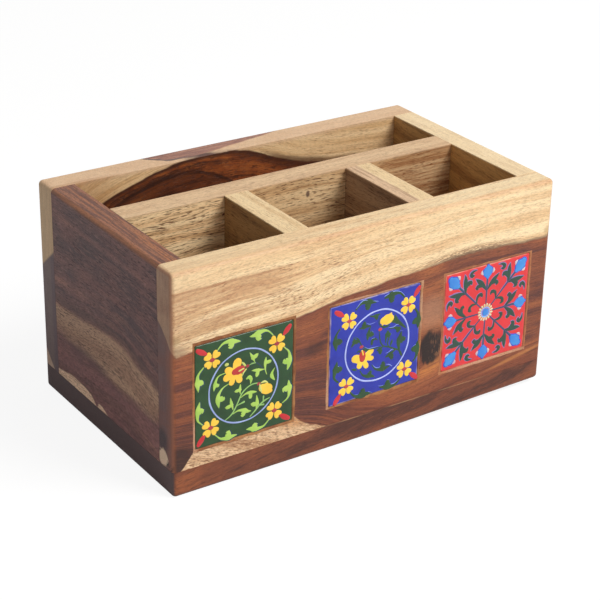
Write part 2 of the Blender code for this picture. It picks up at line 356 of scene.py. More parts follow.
def front_wood():
    """Cream sapwood over reddish heartwood, with a pale wedge at the lower left and a knot on the right."""
    plank = Plank("front_wood", 0, 2, 3.1)
    s = plank.shader
    x, z = plank.x, plank.z
    deep = plank.y + half_depth
    rim = s.curve(x, (
        (-105, 69.5), (-80, 71.5), (-42, 73.2), (-24, 76.0), (0, 78.4), (30, 80.2), (54, 81.8), (75, 80.8),
        (105, 79.9)))
    low_lines = s.curve(x, ((-105, 38), (-60, 24), (-30, 14), (0, 2), (15, 0), (60, 7), (105, 11)))
    low_share = s.step(z, 56, 20)
    top_share = s.step(z, 45, 78) * (1 - 0.6 * s.step(z, 84, 109))
    plank.lines(low_lines * low_share + (rim - 75) * top_share, wave=2.0, coarse=0.8)

    busy = s.step(x, 60, -60) * 0.45
    sap = plank.sapwood(streakiness=0.35 + busy, flecks=0.45 + busy)
    sap = s.mix(s.step(x, -84, -104) * 0.25, sap, mauve_tan)
    dashes = s.noise(x / 1.9, plank.level / 0.5, deep / 0.5, detail=1.0)
    dashed = s.spot(x, z, (-20, 87), (52, 11), 0.5) * s.step(plank.blotches, 0.4, 0.6)
    sap = s.mix(s.step(dashes, 0.58, 0.7) * dashed * 0.6, sap, "#97603E")
    stain = s.spot(x, z, (-78, 90), (34, 9), 0.6) * s.step(plank.streaks, 0.36, 0.6)
    sap = s.mix(stain * 0.5, sap, "#B98A62")
    under_line = s.step(z, 99.8, 99.0) * s.step(z, 88, 95) * s.step(x, -42, -58)
    sap = s.layered(sap, (
        (under_line * 0.4, "#BE9068"),
        (s.step(z, 99.4, 100.4) * s.step(x, -30, -60) * 0.35, cream)))
    ring_line = s.step(abs(z - 99.3 + (plank.bands - 0.5) * 1.6), 0.9, 0.2) * s.step(x, -40, -60)
    sap = s.mix(ring_line * 0.5, sap, "#A06C48")
    low_stain = s.spot(x, z, (-72, 79), (40, 7), 0.6) * s.step(plank.bands, 0.4, 0.6)
    sap = s.layered(sap, (
        (low_stain * 0.4, "#A8794F"),
        (s.step(z, 98, 109) * s.step(x, 60, -20) * 0.35, honey)))

    lift = (
        s.spot(x, z, (-33, 66), (12, 9)) * 0.12
        + s.spot(x, z, (-100, 63), (9, 7)) * 0.14
        + s.spot(x, z, (36, 66), (12, 16)) * 0.22
        + s.spot(x, z, (33, 49), (9, 4)) * 0.3
        + s.spot(x, z - x * 0.35, (35, 14.5), (9, 3.2)) * 0.8
        + s.spot(x, z, (60, 17), (60, 7)) * 0.16
        - s.spot(x, z, (-32, 34), (14, 16)) * 0.14
        - s.spot(x, z, (-99, 22), (8, 12)) * 0.22
    )
    heart = plank.heartwood(lift=lift, ringed=0.2 + low_share * 0.4)
    heart = s.mix(s.step(z, 24, 18) * s.step(x, -30, -10) * 0.35, heart, "#7C3E26")
    glow = s.spot(x, z - x * 0.35, (36, 14.4), (8, 2.6), 0.5) * s.step(plank.streaks, 0.62, 0.42)
    heart = s.mix(glow * 0.8, heart, "#C87E40")
    line = s.spot(x, z - x * 0.17, (90, 3.4), (18, 1.0), 0.5)
    heart = s.layered(heart, (
        (line * 0.7, "#BE7A44"),
        (s.spot(x, z, (35, 56), (9, 8), 0.6) * 0.6, mauve_tan),
        (s.spot(x, z, (-31, 55), (5, 3.4), 0.5) * 0.5, near_black),
        (s.spot(x, z, (-101, 18), (6, 7), 0.5) * 0.75, near_black)))

    wobble = s.noise(x / 14, z / 14, deep / 14, detail=3.0)
    past_rim = rim + 14 * s.math("POWER", s.math("MAXIMUM", deep / 12, 0.0), 0.6) - z + (wobble - 0.5) * 2.5
    colour = s.mix(s.step(past_rim, -0.5, 0.7), sap, heart)
    along_rim = s.step(abs(past_rim + 1.6), 2.0, 0.4) * s.spot(x, z, (56, 81), (34, 20))
    colour = s.mix(along_rim * s.step(plank.fibres, 0.44, 0.6) * 0.6, colour, "#7A4E34")
    fuzz = s.spot(x, z, (57, 82.4), (20, 2.4), 0.5) * s.step(dashes, 0.4, 0.58)
    colour = s.mix(fuzz * 0.7, colour, "#7E5A40")
    for centre, radii, tint, share in (
            ((103.6, 83.2), (2.4, 2.4), "#C4A272", 0.75),
            ((-103.2, 77.2), (2.4, 2.2), "#A98C64", 0.6),
            ((-103.6, 71.6), (6.0, 2.6), "#6A5040", 0.5)):
        colour = s.mix(s.spot(x, z, centre, radii, 0.6) * share, colour, tint)
    rim_line = s.step(abs(past_rim + 0.2), 1.0, 0.2) * s.step(x, 10, 50)
    colour = s.mix(rim_line * 0.55, colour, dark_brown)

    wedge_top = s.curve(x, (
        (-105, 10.5), (-101, 13.2), (-97, 17.2), (-91.5, 22.5), (-80, 25), (-46, 24.5), (-38, 19.6),
        (-24, 13), (-10, 8)))
    in_wedge = s.step(wedge_top - z + (wobble - 0.5) * 3.0 - deep * 0.8, -0.3, 0.5) * s.step(z, 30, 28)
    wedge = plank.sapwood(
        light="#E4BF96", middle="#CB9F76", dark="#A07250", fleck="#6E4329",
        streakiness=0.45, flecks=1.0)
    bark_like = s.noise(x / 2.6, plank.level / 0.9, deep / 2, detail=3.0, roughness=0.7)
    wedge = s.layered(wedge, (
        (s.step(bark_like, 0.5, 0.62) * 0.7, "#875A3C"),
        (s.step(bark_like, 0.44, 0.34) * 0.6, "#F6DAB6")))
    orange = s.spot(x, z, (-41, 21), (7, 3.5), 0.5) * s.step(bark_like, 0.56, 0.44)
    wedge = s.mix(orange * 0.6, wedge, "#CF8C4C")
    colour = s.mix(in_wedge * s.step(x, 0, -8), colour, wedge)

    knot_warp = s.noise(x / 2.2, z / 7, deep / 7, detail=3.0)
    knot = s.spot(x + (knot_warp - 0.5) * 5, z + (knot_warp - 0.5) * 6, (35.5, 38.2), (6.6, 8.4), 0.16)
    lines = s.step(s.noise(x / 0.8, z / 3.5, deep / 3, detail=2.0), 0.5, 0.7) * s.step(x, 32, 40)
    bark = s.mix(lines, "#241512", "#7A5238")
    colour = s.layered(colour, (
        (s.spot(x, z, (35.5, 38.2), (8.5, 10.5), 0.3) * 0.4, dark_brown),
        (knot, bark)))
    end = s.mix(s.step(past_rim, -0.5, 0.7), "#92715A", "#614846")
    end = s.mix(s.step(plank.blotches, 0.4, 0.65) * 0.35, end, "#6E4438")
    end = s.end_rings(end, deep, z)
    end = s.mix(s.step(deep, 6.5, 1.5) * s.step(past_rim, 0, 2) * 0.5, end, "#86503A")
    crumble = s.noise(deep / 1.6, z / 1.6, x, detail=3.0)
    end = s.mix(s.spot(deep, z, (9.0, 26), (4.5, 5.5), 0.5) * 0.8, end, "#2C262C")
    filled = s.spot(deep + (crumble - 0.5) * 4, z + (crumble - 0.5) * 4, (8.6, 17.2), (4.0, 4.2), 0.15)
    end = s.mix(filled, end, "#CDB095")
    crack = s.spot(deep, z, (3.0, 14.8), (4.0, 1.8), 0.4) * s.step(crumble, 0.5, 0.56)
    end = s.mix(crack, end, "#1E1819")
    return plank.finish(colour, edge_colour=orange_brown, edge_share=0.5, end_grain=end)


def base_wood():
    """Dark reddish brown, with slanting figure along the front edge, painted shade along its bottom edge and
    a painted highlight along its joint with the front panel.
    """
    plank = Plank("base_wood", 0, 1, 8.4)
    s = plank.shader
    x, z = plank.x, plank.z
    plank.depth = z - x * 0.16
    plank.lines()
    lift = (
        s.spot(x, z, (-70, 3), (50, 3), 0.6) * 0.12
        + s.spot(x, z, (-100, 7), (10, 8), 0.6) * 0.16
        - s.spot(x, z, (35, 7), (40, 6), 0.6) * 0.08
    )
    colour = plank.heartwood(light="#94522F", middle="#79422B", dark="#512C22", lift=lift)
    # Near-black towards the very bottom: painted shade under the rounded bottom edge.
    colour = s.mix(s.step(z, 1.6, 0.2) * 0.5, colour, near_black)
    # A pale line along the top of the base's front, where the front panel sits: a painted highlight along the
    # joint.
    joint_highlight = s.step(z, 12.2, 12.6) * s.step(x, -34, -16) * s.step(x, 92, 76)
    colour = s.mix(joint_highlight * s.step(plank.blotches, 0.35, 0.55) * 0.6, colour, "#B98C64")
    # The near-black along the base's rounded edges is painted shade.
    return plank.finish(colour, edge_colour=near_black, edge_share=0.2, end_grain="#47393A")


def back_wood():
    """Golden sapwood with a dark arch of heartwood."""
    plank = Plank("back_wood", 0, 2, 12.7)
    s = plank.shader
    x, z = plank.x, plank.z
    deep = plank.y - span("back_panel", 1)[0]
    arch = s.curve(x, (
        (-105, 74), (-93, 88), (-77, 97), (-60, 103), (-45, 107.3), (-30, 109.5), (-12, 109.4), (0, 107.8),
        (8, 105.4), (16, 102.0), (24, 98.6), (32, 96.0), (42, 94.0), (60, 91), (105, 88)))
    outer_arch = s.curve(x, (
        (-105, 66), (-92, 80), (-76, 95), (-60, 105), (-50, 109.6), (-34, 114), (-10, 116), (12, 114),
        (28, 109.6), (44, 103), (66, 90), (86, 72), (105, 50)))
    inner_arch = s.curve(x, (
        (-105, 60), (-80, 88), (-70, 94.5), (-60, 98.5), (-50, 101.5), (-38, 103.4), (-28, 103),
        (-20, 100.5), (-12, 97), (-5, 92), (10, 80), (105, 50)))
    streak_edge = s.curve(x, (
        (-105, 14.4), (-55, 14.2), (-50, 10.5), (-43, 5.0), (-37, 2.2), (-22, 3.0), (-5, 5.6), (12, 8.6),
        (28, 12.0), (40, 14.4), (105, 14.4)))
    below = arch - z - deep * 0.12
    plank.lines((arch - 100) * 0.9, wave=2.0)
    sap = plank.sapwood(light="#F2D0A0", middle="#E2B984", dark="#B6885A", streakiness=0.45, flecks=0.5)
    sap = s.mix(s.step(z, 106.5, 109) * 0.7, sap, "#DDB896")
    heart = plank.heartwood(light="#B0642C", middle="#8A4620", dark="#4A2413", lift=0.1)
    wobble = s.noise(x / 12, z / 5, deep / 8, detail=3.0)
    below = below + (wobble - 0.5) * 2.0
    inside = s.step(inner_arch - z + (wobble - 0.5) * 2, -0.4, 0.8)
    inside_line = s.step(abs(inner_arch - z + (wobble - 0.5) * 2 - 1.0), 1.6, 0.5)
    heart = s.layered(heart, (
        (inside * 0.55, "#3A1B10"),
        (inside_line * 0.6, "#2A130C")))
    clouds = s.noise(x / 7, z / 3, deep / 5, detail=4.0, roughness=0.65)
    heart = s.layered(heart, (
        (s.step(clouds, 0.54, 0.68) * 0.6, "#2E140C"),
        (s.step(clouds, 0.48, 0.34) * s.step(inside, 0.7, 0.2) * 0.45, "#A9622E")))
    rim_band = s.step(below, 3.2 + s.step(x, -12, 12) * 4.5, 1.2)
    heart = s.mix(rim_band * 0.85, heart, "#34180F")
    sap = s.mix(s.step(x, -62, -84) * s.step(deep, 3, 1) * 0.4, sap, "#A8703E")
    smear = s.step(below, -3.6, -0.6) * s.step(x, 6, 22) * s.step(deep, 3, 1)
    sap = s.mix(smear * 0.8, sap, "#54301A")
    colour = s.mix(s.step(below, -0.3, 0.7) * s.step(deep, 4.5, 2.5), sap, heart)
    outer = plank.heartwood(light="#A8705A", middle="#875649", dark="#5E3A34")
    under_outer = s.step(outer_arch - z + (wobble - 0.5) * 3, -0.3, 0.8) * s.step(deep, 9, 12.5)
    through = arch + (outer_arch - arch) * deep / 14 - z + (wobble - 0.5) * 3
    end_share = s.step(x, half_width - 2, half_width - 1)
    under_outer = s.mix(end_share, under_outer, s.step(through, -0.3, 0.8))
    colour = s.mix(under_outer * s.step(z, 109, 107.2), colour, outer)
    on_streak = s.step(deep - streak_edge + (wobble - 0.5) * 2.2, -0.3, 0.8) * s.step(z, 106.4, 108)
    streak = s.mix(s.step(plank.streaks, 0.35, 0.6), "#AE7862", "#7C4C42")
    streak = s.mix(s.step(abs(deep - streak_edge - 1.2), 1.6, 0.4) * s.step(x, -20, -42), streak, "#4E3E3E")
    colour = s.mix(on_streak * 0.92, colour, streak)
    end_rim = 77 - deep * 0.85
    end = s.mix(s.step(end_rim - z, -0.8, 1.2), "#B29472", "#58484C")
    end = s.mix(s.step((deep - 4) * 1.1 + 13 - z, -0.5, 0.8), end, "#A88C7A")
    end = s.end_rings(end, deep, z)
    return plank.finish(colour, edge_colour=pink_tan, edge_share=0.3, end_grain=end)


def left_end_wood():
    """Dark purple-brown, with a tan band across it and a pale sliver along the base."""
    plank = Plank("left_end_wood", 1, 2, 20.3)
    s = plank.shader
    z = plank.z
    forward = 0 - plank.y
    band_top = s.curve(forward, ((-50, 51.5), (-30, 53), (0, 56.5), (12, 57), (30, 53.5), (50, 49)))
    plank.lines((band_top - 54) * s.step(z, 90, 60), wave=2.2)
    colour = plank.heartwood(
        light="#8E6254", middle="#6C4844", dark="#4A3334", fleck="#2C1E1F", streakiness=0.6,
        flecks=0.7)
    rosy = s.step(z, 40, 26) * s.step(plank.bands, 0.62, 0.38) * 0.55
    colour = s.mix(rosy, colour, "#8E5E5A")
    patches = s.noise(forward / 6, z / 1.8, plank.x / 4, detail=4.0, roughness=0.7)
    colour = s.layered(colour, (
        (s.step(patches, 0.53, 0.68) * 0.4, "#3E2A2E"),
        (s.step(patches, 0.46, 0.32) * 0.35, "#96706A")))
    wobble = s.noise(forward / 18, z / 5, plank.x / 8, detail=3.0)
    under = band_top - z + (wobble - 0.5) * 4 + (plank.streaks - 0.5) * 5
    band_low = s.curve(forward, ((-50, 38), (-20, 38.5), (5, 35), (25, 33.5), (50, 36)))
    band = s.step(under, -0.8, 2.2) * s.step(z - band_low + (wobble - 0.5) * 8, -4, 3)
    tan_band = plank.sapwood(
        light="#AE8A6E", middle="#9A765C", dark="#7A5646", fleck="#3E2A24", flecks=0.9)
    colour = s.layered(colour, (
        (band * 0.85, tan_band),
        (s.step(abs(under + 2.4), 3.2, 0.8) * 0.55, "#40302C")))
    dusk = s.spot(forward, z, (22, 68), (34, 7), 0.6) * s.step(plank.streaks, 0.4, 0.6)
    colour = s.mix(dusk * 0.6, colour, "#3A3034")
    sliver_top = s.curve(forward, (
        (-50, 15.5), (-40, 17.2), (-30, 18.4), (-18, 17.6), (-11, 14.8), (-8.5, 13.2), (-6.5, 15.6),
        (0, 14.0), (4, 12.5), (50, 10)))
    sliver = s.step(sliver_top - z + (wobble - 0.5) * 1.2, -0.2, 0.4)
    colour = s.mix(sliver * 0.9, colour, s.mix(s.step(plank.fibres, 0.5, 0.7), "#E2BE9E", "#A67E66"))
    top = s.step(z, 106.5, 108.6)
    ruddy = s.mix(s.step(plank.streaks, 0.4, 0.62), "#98603E", "#603524")
    colour = s.mix(top * 0.9, colour, ruddy)
    orange_line = s.step(abs(plank.x + half_width - 9.4 + forward * 0.03), 2.0, 0.4) * s.step(z, 107, 109)
    orange_line = orange_line * s.step(forward, 5, 30) * s.step(plank.streaks, 0.62, 0.42)
    colour = s.mix(orange_line * 0.7, colour, "#B4703F")
    return plank.finish(colour, edge_colour="#9C6640", edge_share=0.6, grit=0.26)


def right_end_wood():
    """Light honey sapwood, with painted shade on its inner face."""
    plank = Plank("right_end_wood", 1, 2, 31.9)
    s = plank.shader
    plank.lines(plank.y * 0.12, wave=4.0)
    colour = plank.sapwood(light="#F2D5A8", middle="#E4C08E", dark="#A97C50", streakiness=0.6)
    colour = s.mix(s.step(plank.z, 107, 109) * 0.6, colour, "#FAE2B8")
    # The inner face gets a darker brown: painted shade.
    inner = plank.sapwood(light="#C49458", middle="#A67642", dark="#76502A", fleck="#4E321A")
    colour = s.mix(s.step(plank.x, 93.2, 92.3) * s.step(plank.z, 108.8, 108.2), colour, inner)
    return plank.finish(colour, edge_colour=cream, edge_share=0.3)


def long_divider_wood():
    """Tan with dense short brown flecks, browner to the right."""
    plank = Plank("long_divider_wood", 0, 2, 44.2)
    s = plank.shader
    x, z = plank.x, plank.z
    plank.lines(wave=4.5, coarse=1.15)
    left_cell = s.step(x, -26, -44) * s.step(z, 108.9, 108)
    light = s.mix(left_cell, "#EACA9C", "#FFDFAE")
    middle = s.mix(left_cell, "#D6AE7E", "#F4C690")
    colour = plank.sapwood(light, middle, "#A2764C", "#66402A", streakiness=0.7, flecks=1.1)
    right_share = s.step(x, 22, 60) * (0.35 + s.step(plank.streaks, 0.42, 0.6) * 0.3)
    colour = s.layered(colour, (
        (right_share * s.step(z, 108.9, 108), "#9A643C"),
        (s.step(z, 107.8, 108.9) * 0.6, "#E0BE9A")))
    mark = s.spot(x, z, (6, 100), (1.0, 1.6), 0.4)
    colour = s.mix(mark * 0.8, colour, "#4B2F33")
    return plank.finish(colour, roughness=0.6, specular=0.25)


def short_divider_wood():
    """Pale cream, with brown streaks on the right one's left half, and painted shade on the faces that look
    left.
    """
    plank = Plank("short_divider_wood", 1, 2, 57.6)
    s = plank.shader
    plank.lines()
    colour = plank.sapwood(light="#F2D6A8", middle="#E8C899", dark="#C09A6C", streakiness=0.25, flecks=0.4)
    half = s.step(plank.x, 34.5, 33.5) * s.step(plank.x, 20, 22)
    streaky = s.mix(s.step(plank.streaks, 0.45, 0.6), "#DDB99A", "#A67F68")
    colour = s.mix(half * 0.7, colour, streaky)
    # The faces that look left are painted a darker, browner colour: painted shade.
    shaded_left_faces = s.largest(
        s.step(plank.x, -39.4, -40.1), s.step(plank.x, 28.8, 28.1) * s.step(plank.x, 20, 22))
    on_right = s.step(plank.x, 0, 1)
    light = s.mix(on_right, "#A87E4E", "#A88666")
    middle = s.mix(on_right, "#8E663C", "#8C6A4E")
    dark = s.mix(on_right, "#694829", "#624634")
    inner = plank.sapwood(light, middle, dark, "#4A3019", flecks=0.8)
    colour = s.mix(shaded_left_faces * s.step(plank.z, 108.8, 108.2), colour, inner)
    return plank.finish(colour, roughness=0.6, specular=0.25)


def on_outside(point):
    """True for a point that lies in an outer face of the whole box."""
    return any(
        min(abs(point[axis] - low_corner[axis]), abs(point[axis] - high_corner[axis])) < same_plane
        for axis in range(3)
    )


def add_box(bm, low, high):
    """Adds a closed box between two corners."""
    place = Matrix.Translation((low + high) / 2) @ Matrix.Diagonal((*(high - low), 1))
    bmesh.ops.create_cube(bm, size=1, matrix=place)


def slice_at(bm, place, direction):
    """Adds the edges where a plane cuts the mesh."""
    everything = bm.verts[:] + bm.edges[:] + bm.faces[:]
    bmesh.ops.bisect_plane(bm, geom=everything, plane_co=place, plane_no=direction)


def shown(name, bm, material=None, smooth_degrees=35):
    """A piece of the object from a bmesh."""
    mesh = bpy.data.meshes.new(name)
    bm.to_mesh(mesh)
    bm.free()
    if material:
        mesh.materials.append(material)
    mesh.shade_smooth()
    mesh.set_sharp_from_angle(angle=math.radians(smooth_degrees))
    piece = bpy.data.objects.new(name, mesh)
    bpy.context.scene.collection.objects.link(piece)
    return piece


def settle(piece):
    """Turns a piece's modifiers into its mesh."""
    graph = bpy.context.evaluated_depsgraph_get()
    made = bpy.data.meshes.new_from_object(piece.evaluated_get(graph))
    piece.modifiers.clear()
    piece.data = made


def ease(bm, edges, radius, segments):
    """Rounds some edges evenly."""
    bmesh.ops.bevel(
        bm, geom=edges, offset=radius, segments=segments, profile=0.5, affect="EDGES", clamp_overlap=True)


def make_board(node, material):
    """One plank with rounded outer edges, which closes the glue gaps to its neighbours."""
    low, high = (Vector(corner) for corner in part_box(node))
    for axis in range(3):
        if low[axis] > low_corner[axis] + same_plane:
            low[axis] -= glue_fill
        if high[axis] < high_corner[axis] - same_plane:
            high[axis] += glue_fill
    bm = bmesh.new()
    add_box(bm, low, high)
    outer_edges = [
        edge for edge in bm.edges if all(on_outside(face.calc_center_median()) for face in edge.link_faces)]
    ease(bm, outer_edges, edge_radius, edge_segments)
    sharp_edges = [edge for edge in bm.edges if edge.is_manifold and edge.calc_face_angle() > sharp_angle]
    ease(bm, sharp_edges, joint_edge_radius, joint_edge_segments)
    if node == "base_board":
        lift_front_edge(bm)
    piece = shown(node + "_plank", bm, material)
    keep_flat(piece)
    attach(piece, root)
    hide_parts(node)
    return piece


def keep_flat(piece):
    """Shades broad faces flat right up to their rounded edges."""
    flat = piece.modifiers.new("flat_faces", "WEIGHTED_NORMAL")
    flat.keep_sharp = True
    flat.weight = 100


def lift_front_edge(bm):
    """Planes the base's lower front edge away towards the right."""
    for place in range(lift_steps):
        slice_at(bm, (high_corner.x * place / lift_steps, 0, 0), (1, 0, 0))
    slice_at(bm, (0, low_corner.y + lift_depth, 0), (0, 1, 0))
    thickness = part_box("base_board")[1][2]
    for vertex in bm.verts:
        forward = max(0.0, 1 - (vertex.co.y - low_corner.y) / lift_depth)
        sideways = max(0.0, vertex.co.x / high_corner.x)
        below = max(0.0, 1 - vertex.co.z / thickness)
        vertex.co.z += lift_height * forward * sideways * below


def tile_recesses():
    """The room for the tiles and their filler in the front panel."""
    bm = bmesh.new()
    for colour in tile_colours:
        low, high = (Vector(corner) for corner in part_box(colour + "_putty_border"))
        low -= Vector((recess_gap, recess_overshoot, recess_gap))
        high += Vector((recess_gap, recess_gap, recess_gap))
        add_box(bm, low, high)
    return bm


def screw_recesses():
    """The shallow round holes under the base in which the screws' heads show."""
    bm = bmesh.new()
    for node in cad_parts:
        if not node.endswith("_screw"):
            continue
        low, high = (Vector(corner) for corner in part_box(node))
        top = low.z + head_clearance
        centre = (low + high) / 2
        centre.z = (top - recess_overshoot) / 2
        radius = (high.x - low.x) / 2 + recess_gap
        bmesh.ops.create_cone(
            bm, cap_ends=True, segments=round_sides, radius1=radius, radius2=radius,
            depth=top + recess_overshoot, matrix=Matrix.Translation(centre))
    return bm


def cut_out(plank, bm):
    """Takes the shapes in bm out of a plank."""
    cutter = shown("cutter", bm)
    plank.modifiers.clear()
    cut = plank.modifiers.new("recesses", "BOOLEAN")
    cut.operation = "DIFFERENCE"
    cut.object = cutter
    settle(plank)
    keep_flat(plank)
    bpy.data.objects.remove(cutter, do_unlink=True)


tile_colours = ("green", "blue", "red")

short_divider_material = short_divider_wood()
front_panel = make_board("front_panel", front_wood())
cut_out(front_panel, tile_recesses())
base_plank = make_board("base_board", base_wood())
cut_out(base_plank, screw_recesses())
make_board("back_panel", back_wood())
make_board("left_end_panel", left_end_wood())
make_board("right_end_panel", right_end_wood())
make_board("long_divider", long_divider_wood())
make_board("left_short_divider", short_divider_material)
make_board("right_short_divider", short_divider_material)


# Small plain finishes, and glaze
glaze_roughness = 0.16
glaze_ripple = 0.03


def speckled(name, colour, other, size, roughness, metallic=0.0, bump=0.02):
    """Two like colours in fine grains."""
    s = Shader(bpy.data.materials.new(name))
    x, y, z = s.place()
    grains = s.noise(x / size, y / size, z / size, detail=3.0)
    s.nodes["Principled BSDF"].inputs["Metallic"].default_value = metallic
    return s.finish(s.mix(s.step(grains, 0.35, 0.65), colour, other), roughness, grains, bump)


def glaze(name, colour, pool, tile=None, rim=None):
    """Glossy glaze that pools a little darker, and thins over the clay at the tile's rim."""
    s = Shader(bpy.data.materials.new(name))
    x, y, z = s.place()
    if tile:
        low, high = (Vector(corner) * PER_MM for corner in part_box(tile))
        middle, half = (low + high) / 2, (high.x - low.x) / 2
        reach = s.largest(abs(x - middle.x), abs(z - middle.z))
        thin = s.step(reach + s.noise(x / 4, y / 4, z / 4) * 0.5, half - 0.45, half + 0.1)
        colour = s.mix(thin * 0.8, colour, rim)
    pools = s.noise(x / 7, y / 7, z / 7)
    ripples = s.noise(x / 5, y / 5, z / 5, detail=1.0)
    colour = s.mix(s.step(pools, 0.35, 0.7), colour, pool)
    return s.finish(colour, glaze_roughness, ripples, glaze_ripple, specular=0.4)


adhesive_material = speckled("adhesive", "#D9D3C2", "#C3BCA9", 1.1, 0.8)
dowel_material = speckled("dowel_wood", "#D3B58A", "#BE9D70", 0.8, 0.6)
steel_material = speckled("screw_steel", "#C9C4B6", "#B4AFA2", 0.6, 0.3, metallic=1.0, bump=0.005)

hidden_materials = {
    "_dowel_low": dowel_material, "_dowel_high": dowel_material, "_screw": steel_material,
    "_bed": adhesive_material}
for node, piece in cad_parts.items():
    for ending, material in hidden_materials.items():
        if node.endswith(ending):
            piece.data.materials.clear()
            piece.data.materials.append(material)


# Tiles
tile_turns = {"green": 0.0, "blue": math.radians(0.8), "red": math.radians(0.2)}
tile_corner_radius = 1.1 * MM
tile_edge_radius = 0.55 * MM
glaze_crown = 0.12 * MM
glaze_steps = 24
glaze_wave = 0.05 * MM
glaze_wave_pitch = 90
tile_edge_segments = 4


def make_glazed_body(colour, material):
    """A pressed clay square with eased edges, whose glaze stands highest in the middle."""
    low, high = (Vector(corner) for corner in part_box(colour + "_tile"))
    bm = bmesh.new()
    add_box(bm, low, high)
    standing = [edge for edge in bm.edges if abs(edge.verts[0].co.y - edge.verts[1].co.y) > same_plane]
    ease(bm, standing, tile_corner_radius, tile_edge_segments)
    front = [
        edge for edge in bm.edges
        if all(abs(vertex.co.y - low.y) < same_plane for vertex in edge.verts)
        and edge.calc_face_angle(0) > 1]
    ease(bm, front, tile_edge_radius, tile_edge_segments)
    for axis in (0, 2):
        for count in range(1, glaze_steps):
            place = low.copy()
            place[axis] += (high[axis] - low[axis]) * count / glaze_steps
            slice_at(bm, place, Vector((axis == 0, 0, axis == 2)))
    centre = (low + high) / 2
    turn = Matrix.Rotation(-tile_turns[colour], 3, "Y")
    for vertex in bm.verts:
        across = (vertex.co.x - centre.x) / (high.x - low.x) * 2
        upward = (vertex.co.z - centre.z) / (high.z - low.z) * 2
        if vertex.co.y < low.y + tile_edge_radius:
            wave = noise.noise(vertex.co * glaze_wave_pitch) * glaze_wave
            vertex.co.y -= (glaze_crown + wave) * max(0.0, (1 - across ** 4) * (1 - upward ** 4))
        vertex.co = centre + turn @ (vertex.co - centre)
    body = shown(colour + "_tile_glazed", bm, material, 60)
    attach(body, root)
    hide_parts(colour + "_tile")


# Painting: brush strokes of thick enamel, as (across, up, width) in millimetres on the front face
paint_lift = 0.06
stroke_height = 0.16
stroke_sink = 0.1
thinnest = 0.08
samples_per_mm = 1.3
dome = ((-1.0, 0.0), (-0.82, 0.52), (-0.42, 0.88), (0.0, 1.0), (0.42, 0.88), (0.82, 0.52), (1.0, 0.0))
cap_turns = (35, 65, 88)
hand_shake = 0.07
fullness = 1.12
ring_points = 28
shadow_shift = (0.3, -0.12)
shadow_rim = 0.3
outline_shift = (-0.12, 0.12)
outline_rim = 0.42
bud_width = 2.3


def smooth_path(points, closed=False):
    """Samples on a smooth curve through the points, which keep their width as a third value."""
    count = len(points)
    pieces = count if closed else count - 1
    samples = []
    for index in range(pieces):
        places = [index + step for step in (-1, 0, 1, 2)]
        places = [place % count if closed else min(max(place, 0), count - 1) for place in places]
        before, start, end, after = (points[place] for place in places)
        length = math.hypot(end[0] - start[0], end[1] - start[1])
        steps = max(2, round(length * samples_per_mm))
        for step in range(steps):
            t = step / steps
            values = []
            for a, b, c, d in zip(before, start, end, after):
                values.append(0.5 * (2 * b + (c - a) * t + (2 * a - 5 * b + 4 * c - d) * t * t
                                     + (3 * b - a - 3 * c + d) * t ** 3))
            samples.append(values)
    if not closed:
        samples.append(list(points[-1]))
    return samples


